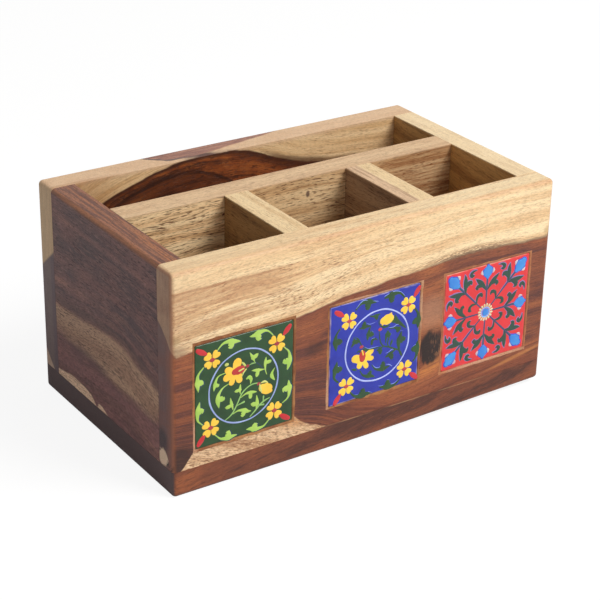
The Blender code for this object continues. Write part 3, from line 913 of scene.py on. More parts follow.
class Painting:
    """All the strokes on one tile, kept by colour."""

    def __init__(self, tile, seed):
        self.tile = tile
        self.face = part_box(tile + "_tile")[0][1] * PER_MM - paint_lift
        self.colours = {}
        self.random = random.Random(seed)

    def stroke(self, colour, points, height=stroke_height, closed=False, shake=hand_shake):
        """One domed stroke of the brush."""
        bm = self.colours.setdefault(colour, bmesh.new())
        height = height * self.random.uniform(0.86, 1.14)
        shaken = [
            (a + self.random.uniform(-shake, shake), b + self.random.uniform(-shake, shake), width)
            for a, b, width in points]
        samples = smooth_path(shaken, closed)
        count = len(samples)
        rings = []
        for index, (a, b, width) in enumerate(samples):
            ahead = samples[(index + 1) % count if closed else min(index + 1, count - 1)]
            behind = samples[index - 1 if closed else max(index - 1, 0)]
            direction = Vector((ahead[0] - behind[0], ahead[1] - behind[1])).normalized()
            rings.append((Vector((a, b)), direction, max(width * fullness, thinnest)))
        if not closed:
            rings = self.capped(rings)
        loops = []
        for place, direction, width in rings:
            sideways = Vector((-direction.y, direction.x))
            rise = height * min(1.0, math.sqrt(width / 1.2))
            loop = []
            for share, up in dome:
                spot = place + sideways * (share * width / 2)
                loop.append(bm.verts.new(Vector((spot.x, self.face - rise * up, spot.y)) * MM))
            for share in (1.0, -1.0):
                spot = place + sideways * (share * width / 2)
                loop.append(bm.verts.new(Vector((spot.x, self.face + stroke_sink, spot.y)) * MM))
            loops.append(loop)
        pairs = list(zip(loops, loops[1:]))
        if closed:
            pairs.append((loops[-1], loops[0]))
        else:
            bm.faces.new(reversed(loops[0]))
            bm.faces.new(loops[-1])
        for one, other in pairs:
            for corner in range(len(one)):
                following = (corner + 1) % len(one)
                bm.faces.new((one[corner], one[following], other[following], other[corner]))

    def capped(self, rings):
        """Rounds the broad ends of a stroke."""
        ends = []
        for (place, direction, width), way in ((rings[0], -1), (rings[-1], 1)):
            cap = []
            if width > 0.3:
                for degrees in cap_turns:
                    turn = math.radians(degrees)
                    outward = place + direction * (way * math.sin(turn) * width / 2)
                    cap.append((outward, direction, width * math.cos(turn)))
            ends.append(cap)
        return ends[0][::-1] + rings + ends[1]

    def dot(self, colour, a, b, size, height=stroke_height):
        """A round dab of paint."""
        self.stroke(colour, ((a - size * 0.1, b, size), (a + size * 0.1, b, size)), height, shake=0)

    def ring(self, colour, centre, radius, width, height):
        """A hand-drawn ring, not quite even in width."""
        points = []
        for step in range(ring_points):
            turn = math.tau * step / ring_points
            points.append((
                centre[0] + radius * math.cos(turn), centre[1] + radius * math.sin(turn),
                width * self.random.uniform(0.85, 1.15)))
        self.stroke(colour, points, height, closed=True, shake=0.08)

    def leaf(self, colour, path, lobe, width=2.7, stem=0.5, shadow=None, hook=1.3):
        """A curved blade with a curled lobe. The blade is widest where the lobe leaves it."""
        samples = smooth_path([(a, b, 0) for a, b in path])
        near = min(range(1, len(samples) - 1), key=lambda i: math.dist(samples[i][:2], lobe))
        blade = []
        for index in range(0, len(samples), 2 if len(samples) > 8 else 1):
            a, b, _ = samples[index]
            if index <= near:
                grown = (index / near) ** 2
                blade.append((a, b, stem + (width - stem) * grown))
            else:
                left = (len(samples) - 1 - index) / (len(samples) - 1 - near)
                blade.append((a, b, max(width * left ** 0.8, 0.1)))
        blade.append((*path[-1], 0.1))
        root_point = Vector(samples[near][:2])
        end = Vector(lobe)
        back = (Vector(samples[0][:2]) - end).normalized() * hook
        middle = root_point.lerp(end, 0.6)
        curl = [
            (*root_point, width * 0.85), (*middle, width * 1.05), (*end, width * 0.8),
            (*(end + back * 0.8), 0.4)]
        for points in (blade, curl):
            if shadow:
                shifted = [(a + shadow_shift[0], b + shadow_shift[1], w + shadow_rim) for a, b, w in points]
                self.stroke(shadow, shifted, stroke_height * 0.4)
            self.stroke(colour, points)

    def blossom(self, centre, turn=0.0):
        """Four heart-shaped yellow petals round a red dot."""
        middle = Vector(centre)
        for quarter in range(4):
            lean = math.radians(45 + 90 * quarter) + turn + self.random.uniform(-0.08, 0.08)
            reach = self.random.uniform(0.94, 1.06)
            for side in (-1, 1):
                start = middle + Vector((math.cos(lean), math.sin(lean))) * 0.9
                knee = lean + side * 0.2
                tip_turn = lean + side * 0.27
                middle_point = middle + Vector((math.cos(knee), math.sin(knee))) * 2.3 * reach
                tip = middle + Vector((math.cos(tip_turn), math.sin(tip_turn))) * 3.5 * reach
                self.stroke("yellow_petals", (
                    (*start, 0.8), (*middle_point, 2.1), (*tip, 2.1)), shake=0.05)
        self.dot("flower_centres", *middle, 2.1, height=stroke_height * 1.7)

    def petals(self, middle, knee_share, tips):
        """Yellow petals from the middle of a flower to their tips."""
        for a, b, size in tips:
            knee = ((a + middle[0]) / 2, (b + middle[1]) / 2, size * knee_share)
            self.stroke("yellow_petals", (middle, knee, (a, b, size)))

    def bud(self, colour, start, end):
        """A plump bud that narrows towards its end."""
        one, other = Vector(start), Vector(end)
        points = [(*one.lerp(other, share), bud_width * part) for share, part in (
            (0.08, 0.8), (0.3, 1.0), (0.6, 1.0), (0.9, 0.6))]
        self.stroke(colour, points)

    def finish(self, enamels):
        """Makes one piece of each colour, in an enamel of two tones."""
        made = {}
        for name, bm in self.colours.items():
            enamel = enamels[name]
            if enamel not in made:
                made[enamel] = glaze(f"{self.tile}_tile_{enamel[0]}", *enamel[1:])
            bmesh.ops.recalc_face_normals(bm, faces=bm.faces[:])
            piece = shown(f"{self.tile}_tile_{name}", bm, made[enamel], 50)
            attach(piece, root)


def paint_green_tile():
    """A ring with curling sprigs inside, and a yellow flower in each corner."""
    p = Painting("green", 5)
    p.ring("ring_shadow", (-68.6, 46.6), 17.85, 1.0, stroke_height * 0.4)
    p.ring("ring", (-68.8, 46.7), 17.9, 0.7, stroke_height * 1.2)
    for centre, turn in (
            ((-85.0, 63.9), 0.0), ((-51.7, 63.0), 0.05), ((-85.9, 30.5), 0.1), ((-52.6, 29.6), -0.05)):
        p.blossom(centre, turn)
    for start, end in (
            ((-92.6, 70.4), (-87.6, 67.2)), ((-44.6, 70.4), (-48.2, 66.3)),
            ((-92.4, 23.2), (-89.0, 27.9)), ((-44.6, 23.2), (-49.6, 26.4))):
        p.bud("red_buds", start, end)
    for path, lobe in (
            (((-82.4, 67.7), (-79.8, 70.2), (-76.4, 70.7), (-73.2, 69.8), (-70.4, 69.2)), (-75.6, 67.6)),
            (((-53.8, 67.7), (-56.6, 70.6), (-60.2, 70.9), (-63.2, 70.2), (-65.9, 70.1)), (-60.9, 67.8)),
            (((-89.3, 61.2), (-92.0, 58.4), (-92.3, 55.0), (-92.2, 52.2), (-92.1, 49.9)), (-90.1, 54.1)),
            (((-90.0, 33.2), (-92.4, 35.9), (-92.3, 39.8), (-91.9, 42.6), (-91.3, 44.9)), (-90.1, 40.1)),
            (((-47.7, 60.2), (-45.2, 57.4), (-44.6, 54.0), (-45.1, 50.8), (-46.0, 48.2)), (-47.6, 53.0)),
            (((-48.2, 32.2), (-45.3, 34.2), (-44.5, 37.8), (-44.8, 40.6), (-45.2, 43.0)), (-47.6, 38.6)),
            (((-83.5, 26.2), (-80.8, 23.4), (-77.3, 22.7), (-74.6, 23.0), (-72.1, 23.1)), (-76.9, 25.5)),
            (((-55.4, 25.6), (-58.2, 23.2), (-61.8, 22.9), (-64.6, 23.7), (-67.4, 24.0)), (-62.5, 25.3))):
        p.leaf("leaves", path, lobe, shadow="leaf_shadows")
    for path, lobe, width in (
            (((-78.5, 55.7), (-81.6, 55.1), (-83.3, 52.6), (-84.2, 48.2)), (-82.0, 50.6), 1.8),
            (((-76.3, 49.9), (-79.6, 48.6), (-81.8, 45.6), (-82.1, 42.6), (-81.6, 39.1)), (-79.3, 43.4), 2.6),
            (((-74.4, 36.4), (-74.9, 38.8), (-75.5, 40.6), (-75.7, 42.8)), (-77.9, 38.0), 1.8),
            (((-70.5, 43.2), (-70.8, 45.2), (-70.5, 48.2)), (-73.1, 45.0), 1.7),
            (((-70.2, 41.2), (-67.6, 42.5), (-65.2, 42.4), (-61.9, 41.8)), (-65.4, 39.8), 2.0),
            (((-74.2, 34.2), (-71.6, 35.0), (-69.0, 34.5), (-66.8, 33.3), (-64.8, 33.0)), (-69.5, 31.9), 2.3),
            (((-62.2, 33.4), (-61.8, 35.6), (-61.9, 38.0), (-62.0, 40.3)), (-64.5, 36.0), 2.2),
            (((-63.2, 57.2), (-64.0, 59.2), (-64.9, 60.8), (-65.8, 62.4)), (-61.8, 60.2), 2.0),
            (((-57.0, 49.4), (-57.6, 52.0), (-57.6, 55.0), (-57.3, 58.0)), (-55.0, 55.2), 1.8),
            (((-57.6, 52.0), (-59.9, 52.2), (-62.1, 52.6), (-64.9, 53.1)), (-62.0, 49.7), 1.9)):
        p.leaf("leaves", path, lobe, width, stem=0.45, shadow="leaf_shadows", hook=0.9)
    p.stroke("leaves", ((-65.3, 47.0, 0.5), (-64.9, 48.8, 1.6), (-65.9, 50.3, 1.9), (-67.2, 49.9, 0.9)))
    p.stroke("leaves", ((-52.6, 51.3, 0.2), (-54.0, 49.3, 1.2), (-54.2, 47.5, 1.9), (-52.7, 45.3, 0.6)))
    p.stroke("stems", (
        (-78.2, 32.2, 0.45), (-76.0, 33.4, 0.6), (-74.2, 35.0, 0.8), (-72.6, 37.6, 0.7), (-71.2, 40.4, 0.75),
        (-69.8, 43.1, 0.8), (-67.4, 45.1, 0.7), (-64.6, 46.2, 0.7), (-61.9, 46.1, 0.6)))
    p.stroke("stems", ((-72.6, 37.6, 0.4), (-71.0, 38.1, 0.6), (-68.6, 38.6, 1.0)))
    p.stroke("stems", (
        (-65.4, 30.2, 0.5), (-62.9, 32.4, 0.8), (-60.6, 34.6, 0.8), (-58.0, 36.2, 0.9), (-55.2, 36.9, 0.4)))
    p.stroke("stems", ((-58.6, 35.8, 0.5), (-58.4, 38.4, 0.8)))
    p.stroke("stems", ((-60.4, 34.5, 0.5), (-58.4, 34.4, 0.9)))
    for points in (
            ((-64.8, 55.9, 0.3), (-62.6, 56.5, 0.5), (-59.4, 53.4, 0.5), (-57.2, 49.6, 0.3)),
            ((-60.0, 46.4, 0.3), (-57.2, 46.2, 0.5), (-55.0, 47.2, 0.3))):
        p.stroke("leaf_shadows", points, 0.12)
    p.petals((-73.4, 54.4, 2.6), 0.85, (
        (-72.2, 58.8, 4.6), (-76.6, 56.4, 3.8), (-77.4, 53.1, 3.9), (-75.0, 50.3, 3.2), (-71.2, 50.5, 3.4)))
    p.stroke("yellow_petals", ((-75.6, 55.0, 4.4), (-73.2, 53.6, 5.2), (-71.6, 52.6, 3.4)))
    p.stroke(
        "flower_hearts", ((-73.3, 54.9, 3.4), (-72.0, 55.1, 4.4), (-70.3, 55.3, 3.8)), stroke_height * 1.8)
    p.stroke("sepals", ((-71.2, 54.9, 1.1), (-69.2, 55.4, 1.0)), stroke_height * 2.6)
    p.stroke("sepals", ((-69.7, 58.6, 0.5), (-68.9, 57.6, 1.1), (-68.1, 56.6, 0.8)))
    p.stroke("sepals", ((-69.9, 51.4, 0.3), (-69.0, 53.4, 0.9), (-67.6, 54.6, 0.7)))
    p.stroke("stems", ((-66.0, 56.2, 0.3), (-64.4, 56.6, 0.6), (-62.9, 56.5, 0.5)))
    p.dot("flower_centres", -66.9, 56.0, 1.5)
    p.dot("sepals", -77.6, 59.6, 1.6)
    p.stroke("yellow_petals", ((-58.8, 42.8, 4.2), (-57.5, 42.3, 5.4), (-56.4, 42.0, 4.8)))
    p.stroke("yellow_petals", ((-58.2, 41.2, 3.0), (-56.4, 40.6, 3.2), (-54.9, 40.4, 2.2)))
    p.stroke("sepals", ((-60.4, 45.3, 0.5), (-60.2, 43.0, 1.2), (-59.4, 40.8, 0.5)), stroke_height * 1.5)
    p.stroke("sepals", ((-59.6, 45.7, 0.6), (-57.8, 45.9, 1.1), (-56.2, 44.9, 0.4)), stroke_height * 1.5)
    p.dot("flower_centres", -61.0, 45.5, 1.6)
    dark_edge = ("navy", "#27405A", "#2A4A4A")
    p.finish({
        "ring_shadow": dark_edge,
        "ring": ("periwinkle", "#A6B8E8", "#94A6DC"),
        "yellow_petals": ("yellow", "#FFD04A", "#FFC63C"),
        "flower_centres": ("brick", "#AC3A42", "#98323C"),
        "red_buds": ("red", "#CC3036", "#C02C34"),
        "leaves": ("leaf_green", "#B4D664", "#A2CC58"),
        "stems": ("pale_green", "#9CCB74", "#8DBC68"),
        "leaf_shadows": dark_edge,
        "flower_hearts": ("scarlet", "#C23A36", "#B4302E"),
        "sepals": ("straw", "#D9DC7C", "#C4D070")})


def paint_blue_tile():
    """A pale ring with dark sprigs, a yellow flower and a bud inside, and a yellow flower in each corner."""
    p = Painting("blue", 9)
    p.ring("ring", (3.8, 47.3), 18.0, 0.74, stroke_height * 1.2)
    for centre in ((-12.6, 63.9), (20.8, 63.8), (-13.2, 30.6), (20.1, 30.5)):
        p.blossom(centre)
    for start, end in (
            ((-20.4, 70.4), (-15.8, 67.2)), ((27.0, 71.6), (23.9, 67.2)),
            ((-19.7, 22.7), (-16.4, 27.4)), ((27.8, 23.8), (23.6, 27.4))):
        p.bud("red_buds", start, end)
    for path, lobe in (
            (((-9.0, 68.8), (-6.6, 70.9), (-3.4, 71.3), (0.0, 70.4), (2.4, 69.6)), (-2.7, 67.9)),
            (((18.2, 68.5), (15.6, 71.2), (12.0, 71.6), (9.2, 71.0), (6.6, 70.6)), (11.2, 68.2)),
            (((-17.8, 61.0), (-19.8, 58.2), (-19.8, 55.0), (-19.6, 52.4), (-19.4, 50.3)), (-16.9, 54.8)),
            (((-17.9, 34.0), (-20.0, 36.6), (-19.7, 40.2), (-19.0, 42.8), (-18.7, 45.1)), (-16.6, 40.2)),
            (((24.5, 61.0), (26.7, 58.0), (27.1, 54.4), (27.0, 52.2), (26.9, 50.1)), (24.4, 54.2)),
            (((25.2, 33.5), (26.9, 35.6), (27.2, 38.9), (27.1, 41.2), (27.2, 43.6)), (24.6, 39.6)),
            (((-10.7, 26.8), (-8.2, 24.0), (-4.6, 23.2), (-1.6, 23.4), (1.2, 23.3)), (-3.9, 26.0)),
            (((17.9, 26.2), (15.2, 23.9), (11.4, 23.6), (8.4, 24.2), (5.8, 24.8)), (10.9, 26.4))):
        p.leaf("leaves", path, lobe, 3.0, stem=0.8)
    for path, lobe, width in (
            (((-0.9, 63.5), (1.2, 62.9), (3.2, 62.9), (4.9, 63.6)), (2.7, 61.2), 1.7),
            (((-7.0, 58.6), (-5.0, 58.7), (-3.0, 58.7), (0.2, 58.3)), (-4.3, 60.9), 1.9),
            (((-0.4, 58.2), (-1.4, 56.2), (-1.8, 53.6), (-2.1, 51.1)), (0.9, 54.0), 2.2),
            (((-9.8, 54.5), (-9.4, 52.7), (-10.2, 51.2), (-11.4, 50.0)), (-7.3, 52.2), 2.1),
            (((13.4, 60.4), (13.9, 57.6), (16.4, 55.4), (20.3, 51.8)), (12.2, 57.7), 2.2),
            (((10.6, 54.1), (13.0, 54.1), (15.0, 53.2), (17.2, 52.2)), (14.9, 51.9), 1.9),
            (((8.6, 47.4), (8.5, 49.4), (9.2, 51.6), (9.9, 53.6)), (10.6, 50.8), 2.0),
            (((6.9, 46.0), (5.7, 45.0), (4.6, 44.7), (3.2, 45.0)), (6.0, 42.7), 1.9),
            (((14.6, 42.6), (12.4, 41.4), (10.6, 40.5), (8.3, 39.8)), (12.8, 38.4), 2.0),
            (((17.8, 38.4), (16.4, 42.0), (16.0, 45.6), (16.8, 48.6), (17.4, 51.2)), (19.1, 46.2), 2.6),
            (((1.1, 37.9), (3.0, 35.2), (6.0, 34.2), (9.0, 34.2), (11.6, 34.6)), (7.2, 37.4), 2.2),
            (((-5.6, 36.6), (-4.0, 33.9), (-1.2, 32.7), (1.2, 32.2), (3.2, 30.7)), (0.2, 34.6), 1.9)):
        p.leaf("leaves", path, lobe, width * 1.3, stem=0.7, hook=0.8)
    p.stroke("leaves", ((3.9, 50.0, 0.4), (2.4, 51.0, 1.0), (0.8, 50.6, 1.7), (0.5, 48.9, 1.3)))
    p.stroke("leaves", ((11.3, 45.4, 0.7), (11.9, 46.9, 1.4), (12.2, 48.2, 0.4)))
    p.stroke("leaves", ((-10.2, 38.5, 0.5), (-8.9, 38.1, 1.4), (-7.7, 37.5, 0.6)))
    p.stroke("leaves", ((-9.6, 55.0, 0.3), (-7.4, 53.6, 0.8), (-6.0, 51.0, 0.8), (-5.2, 49.6, 0.6)))
    for points in (
            ((18.4, 38.4, 0.5), (16.8, 41.2, 0.8), (13.6, 43.0, 0.9), (10.2, 44.8, 0.9), (7.4, 46.0, 0.8),
             (5.7, 48.0, 0.8), (4.9, 51.0, 0.7), (4.6, 54.2, 0.5)),
            ((-4.6, 49.0, 0.4), (-2.6, 47.3, 0.7), (0.6, 46.3, 0.7), (5.8, 46.1, 0.6)),
            ((8.9, 53.6, 0.4), (10.4, 50.2, 0.8), (9.6, 47.0, 0.8), (10.4, 44.9, 0.6)),
            ((5.6, 57.0, 0.6), (7.2, 55.8, 1.3), (9.6, 56.0, 1.0), (10.6, 56.6, 0.3)),
            ((4.4, 61.6, 0.3), (4.2, 58.6, 0.7), (5.6, 56.4, 0.5))):
        p.stroke("leaves", points)
    for points in (
            ((-9.0, 69.2), (-6.6, 71.6), (-4.2, 72.4), (0.4, 70.9), (3.4, 70.0)),
            ((6.6, 71.6), (12.0, 72.7), (15.6, 71.9), (18.6, 68.9)),
            ((-3.0, 60.6), (-1.0, 59.5), (2.6, 59.7)), ((-1.2, 56.1), (-0.2, 54.9), (1.0, 55.7)),
            ((-0.2, 51.6), (1.8, 51.6), (3.9, 50.1)),
            ((9.6, 54.9), (12.6, 54.5), (15.0, 55.3), (18.6, 53.2), (20.4, 51.6)),
            ((11.6, 58.8), (12.8, 58.3)), ((9.8, 52.7), (10.6, 51.5), (11.7, 51.1)),
            ((16.2, 52.0), (18.2, 51.1)),
            ((18.0, 48.3), (19.6, 47.6)), ((8.2, 41.8), (10.6, 42.1), (12.3, 43.0), (14.8, 42.2)),
            ((1.0, 38.6), (2.8, 36.2), (4.6, 35.4), (6.2, 35.8)), ((9.0, 36.0), (11.2, 35.3), (12.9, 33.9)),
            ((-18.2, 42.4), (-16.9, 41.7)), ((-19.0, 56.4), (-17.4, 55.9)), ((-8.8, 24.9), (-6.4, 24.3)),
            ((-0.6, 24.4), (2.0, 23.1)), ((10.2, 27.6), (11.8, 27.0)),
            ((12.4, 24.6), (14.2, 24.4), (17.0, 25.8)),
            ((5.2, 25.6), (8.4, 25.0)), ((24.6, 41.2), (26.4, 41.9)), ((-9.8, 54.9), (-8.6, 54.4)),
            ((-4.0, 48.8), (-1.6, 47.0), (1.0, 46.8), (5.0, 46.6)), ((6.2, 38.4), (8.0, 37.7)),
            ((-1.2, 33.9), (0.2, 35.3))):
        last = len(points) - 1
        widened = [(a, b, 0.12 if index in (0, last) else 0.34) for index, (a, b) in enumerate(points)]
        p.stroke("pale_strokes", widened, stroke_height * 1.2)
    p.petals((-4.6, 43.0, 2.8), 0.9, (
        (-8.4, 43.6, 4.2), (-6.0, 39.5, 3.4), (-2.3, 38.4, 2.9), (0.4, 41.6, 2.9), (0.0, 45.0, 3.3)))
    p.stroke("yellow_petals", ((-6.6, 42.6, 4.0), (-4.0, 42.2, 5.4), (-1.8, 43.4, 4.0)))
    p.stroke("flower_hearts", ((-4.7, 45.0, 3.4), (-4.6, 43.8, 4.2), (-4.6, 43.0, 3.8)), stroke_height * 1.8)
    p.stroke("yellow_petals", ((-5.0, 46.8, 0.8), (-4.4, 44.9, 1.1)), stroke_height * 2.6)
    p.stroke("leaves", ((-7.6, 46.6, 0.5), (-6.6, 47.2, 1.0), (-5.6, 45.6, 0.5)), stroke_height * 1.4)
    p.stroke("leaves", ((-4.4, 47.4, 0.8), (-2.8, 46.4, 1.3), (-0.6, 46.6, 0.4)), stroke_height * 1.4)
    p.stroke("yellow_petals", ((6.9, 59.2, 4.0), (8.4, 59.3, 5.4), (9.9, 59.3, 5.0)))
    p.stroke("yellow_petals", ((9.2, 60.4, 2.6), (10.4, 61.2, 1.8), (11.1, 62.0, 0.8)))
    p.stroke("yellow_petals", ((7.2, 58.4, 2.6), (6.0, 57.2, 0.8)))
    p.dot("flower_centres", 5.0, 55.2, 1.7)
    p.dot("flower_centres", -5.3, 48.9, 1.7)
    p.finish({
        "ring": ("sky", "#BCC8FA", "#A8B6F4"),
        "yellow_petals": ("yellow", "#FFD84A", "#FFCC46"),
        "flower_centres": ("brick", "#C4484E", "#B03C46"),
        "red_buds": ("red", "#D0343E", "#C63038"),
        "leaves": ("leaf_green", "#2E5430", "#2A4A30"),
        "pale_strokes": ("pale_blue", "#98AEF4", "#7E94EA"),
        "flower_hearts": ("scarlet", "#C83C36", "#BA3430")})


def paint_red_tile():
    """A blue flower in the middle, and eight stems with leaves and blue buds round it."""
    p = Painting("red", 14)
    middle = Vector((67.5, 48.2))

    def arm_points(turn, points, side):
        """Turns (outward, sideways, width) points into the arm's place."""
        outward = Vector((math.sin(turn), math.cos(turn)))
        sideways = Vector((outward.y, -outward.x)) * side
        return [(*(middle + outward * a + sideways * b), width) for a, b, width in points]

    def outlined(colour, points, rim=outline_rim):
        """A stroke on a broader and flatter one, which shows as a line round it."""
        shifted = [(a + outline_shift[0], b + outline_shift[1], width + rim) for a, b, width in points]
        p.stroke("outlines", shifted, stroke_height * 0.5)
        p.stroke(colour, points)

    axial_leaf = (
        ((12.0, 0.5, 0.7), (14.0, 1.9, 1.9), (15.9, 3.6, 2.6), (17.5, 5.4, 1.9), (19.0, 7.1, 0.3)),
        ((14.6, 3.2, 1.6), (15.0, 4.9, 2.2), (14.0, 6.2, 2.0), (13.3, 5.4, 0.6)))
    diagonal_leaf = (
        ((18.6, 0.4, 1.0), (20.6, 1.9, 2.0), (22.6, 3.9, 2.3), (24.2, 5.3, 1.6), (25.7, 6.3, 0.3)),
        ((20.4, 2.2, 2.0), (20.8, 4.2, 2.7), (19.7, 5.6, 2.2), (18.6, 5.2, 0.6)))
    hook = ((8.4, 0.3, 0.7), (9.8, 1.7, 1.4), (10.4, 3.4, 1.7), (9.4, 4.8, 2.1), (8.3, 4.5, 1.0))
    comma = ((23.6, 6.6, 0.3), (23.4, 8.8, 1.3), (22.1, 10.2, 2.0), (21.0, 9.3, 1.8), (21.3, 8.2, 0.5))
    for number in range(8):
        turn = math.radians(45 * number)
        diagonal = number % 2 == 1
        bud_place = 28.3 if diagonal else 21.6
        stem_end = bud_place - 2.4
        stem = [(4.6, 0, 0.8), (stem_end / 2, 0, 1.0), (stem_end, 0, 1.2)]
        outlined("stems", arm_points(turn, stem, 1), rim=0.4)
        for side in (-1, 1):
            for points in diagonal_leaf if diagonal else axial_leaf:
                outlined("leaves", arm_points(turn, points, side))
            outlined("leaves", arm_points(turn, hook if diagonal else comma, side))
        foot, tip = ((-2.9, 2.4), (4.7, 3.0)) if diagonal else ((-3.6, 1.0), (3.8, 1.2))
        bud = arm_points(turn, [
            (bud_place + foot[0], 0, foot[1]), (bud_place - 2.2, 0, 3.8), (bud_place - 0.8, 0, 5.1),
            (bud_place + 0.4, 0, 5.3), (bud_place + 1.7, 0, tip[0]), (bud_place + 2.7, 0, tip[1])], 1)
        p.stroke("bud_edges", [(a, b, width + 0.7) for a, b, width in bud], stroke_height * 0.7)
        p.stroke("blue_buds", bud, stroke_height * 1.4)
        for side in (-1, 1):
            sepal = ((bud_place - 1.2, 3.0, 0.6), (bud_place - 0.3, 3.6, 1.3), (bud_place + 0.9, 3.4, 0.4))
            p.stroke("pale_petals", arm_points(turn, sepal, side), stroke_height * 1.2)
            glint = ((bud_place - 1.4, 0.6, 0.2), (bud_place + 0.2, 1.1, 0.4), (bud_place + 1.8, 0.7, 0.2))
            p.stroke("bud_glints", arm_points(turn, glint, side), stroke_height * 2.1)
    for number in range(16):
        turn = math.tau * (number + 0.5) / 16
        p.stroke("sepals", arm_points(turn, ((3.1, 0, 0.8), (4.0, 0, 1.1)), 1), stroke_height * 1.3)
    p.ring("bud_glints", middle, 2.5, 0.7, stroke_height * 1.1)
    round_heart = [math.tau * step / 10 for step in range(10)]
    p.stroke(
        "blue_buds", [(middle.x + math.cos(turn), middle.y + math.sin(turn), 2.2) for turn in round_heart],
        closed=True)
    p.stroke("blue_buds", [(middle.x - 0.2, middle.y, 2.4), (middle.x + 0.2, middle.y, 2.4)])
    p.finish({
        "outlines": ("lilac", "#9078AC", "#7E6CA8"),
        "stems": ("slate", "#3E4C6C", "#4A4468"),
        "leaves": ("leaf_green", "#2C4C40", "#34463C"),
        "bud_edges": ("royal", "#3C4AC0", "#4450C8"),
        "blue_buds": ("sky", "#4494E0", "#3A82D8"),
        "bud_glints": ("pale_sky", "#7CBCF8", "#6CACF4"),
        "pale_petals": ("pale_pink", "#D6C6C8", "#C8B4C0"),
        "sepals": ("straw", "#E2DCB4", "#D4CCA0")})


make_glazed_body("green", glaze("green_glaze", "#294C2A", "#234226", "green_tile", "#2E4A30"))
make_glazed_body("blue", glaze("blue_glaze", "#2A38AC", "#2632A0", "blue_tile", "#B8A8B8"))
make_glazed_body("red", glaze("red_glaze", "#E0363C", "#D83438", "red_tile", "#D89478"))
paint_green_tile()
paint_blue_tile()
paint_red_tile()


# Putty: an uneven hand-filled border round each tile
putty_steps = 22
putty_lip = 0.35
putty_depth = 2.5


def make_putty(colour, material):
    """A rounded ridge of filler between the tile and the wood, smeared a little onto the wood."""
    low, high = (Vector(corner) * PER_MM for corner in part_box(colour + "_putty_border"))
    tile_low, tile_high = (Vector(corner) * PER_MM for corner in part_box(colour + "_tile"))
    face = low_corner.y * PER_MM
    corners = ((0, 0), (1, 0), (1, 1), (0, 1))
    centre = (tile_low + tile_high) / 2
    turn = Matrix.Rotation(-tile_turns[colour], 3, "Y")

    def at(box_low, box_high, a, b):
        size = box_high - box_low
        return Vector((box_low.x + size.x * a, 0, box_low.z + size.z * b))

    loops = []
    for index, (a, b) in enumerate(corners):
        next_a, next_b = corners[(index + 1) % 4]
        for step in range(putty_steps):
            share = step / putty_steps
            across, upward = a + (next_a - a) * share, b + (next_b - b) * share
            inner = centre + turn @ (at(tile_low, tile_high, across, upward) - centre)
            outer = at(low, high, across, upward)
            away = outer - inner
            away.y = 0
            away.normalize()
            spot = Vector((outer.x, 0, outer.z)) / 5
            uneven = noise.noise(spot) * 0.45 + noise.noise(spot * 3.1) * 0.2
            rise = 0.1 + noise.noise(spot * 2) * 0.06
            lip = outer + away * (putty_lip + uneven)
            inside = inner + away * (0.02 + max(0.0, noise.noise(spot * 1.7 + Vector((9, 0, 0)))) * 0.1)
            middle = inside.lerp(lip, 0.5)
            loops.append([
                Vector((inner.x, low.y + putty_depth, inner.z)), Vector((inside.x, face + 0.32, inside.z)),
                Vector((inside.x, face + 0.1, inside.z)).lerp(Vector((middle.x, face, middle.z)), 0.3),
                Vector((middle.x, face - rise, middle.z)), Vector((lip.x, face - 0.02, lip.z)),
                Vector((lip.x, face + 0.25, lip.z)), Vector((outer.x, low.y + putty_depth, outer.z))])
    bm = bmesh.new()
    rings = [[bm.verts.new(point * MM) for point in loop] for loop in loops]
    for one, other in zip(rings, rings[1:] + rings[:1]):
        for corner in range(len(one)):
            following = (corner + 1) % len(one)
            bm.faces.new((one[corner], one[following], other[following], other[corner]))
    bmesh.ops.recalc_face_normals(bm, faces=bm.faces[:])
    piece = shown(colour + "_putty_filling", bm, material, 70)
    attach(piece, root)
    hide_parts(colour + "_putty_border")


def putty_finish():
    """Orange-brown filler, paler at the sides of the tiles and redder above them."""
    s = Shader(bpy.data.materials.new("putty"))
    x, y, z = s.place()
    patches = s.noise(x / 6, y / 6, z / 6, detail=2.0)
    grains = s.noise(x / 0.8, y / 0.8, z / 0.8, detail=3.0)
    colour = s.mix(s.step(patches, 0.35, 0.62), "#A87448", "#855030")
    colour = s.mix(s.step(x, 34, 38) * 0.4, colour, "#C27C5A")
    for centre, radii in (
            ((-94.6, 27), (2.4, 9)), ((-24.4, 29), (2.4, 10)), ((29.2, 63), (2.6, 15)),
            ((4, 74.9), (24, 1.6)), ((70, 21.4), (26, 1.7))):
        pale = s.spot(x, z, centre, radii, 0.5) * s.step(patches, 0.25, 0.5)
        colour = s.mix(pale * 0.5, colour, "#DDB092")
    colour = s.layered(colour, (
        (s.step(z, 74, 75.5) * s.step(x, -36, -40) * 0.4, "#6E3F28"),
        (s.step(grains, 0.52, 0.7) * 0.5, "#6E3F28")))
    return s.finish(colour, 0.65, grains, 0.06, specular=0.3)


putty_material = putty_finish()
for colour in tile_colours:
    make_putty(colour, putty_material)


# Camera, fitted to the photograph's corners
camera_azimuth = math.radians(-34.16)
camera_elevation = math.radians(25.60)
camera_roll = math.radians(1.22)
camera_distance = 0.85607
camera_aim = Vector((-5.0, -2.5, 50.0)) * MM
camera_slide = Vector((4.86, -1.75)) * MM
camera_lens = 106.31
sensor_width = 36.0

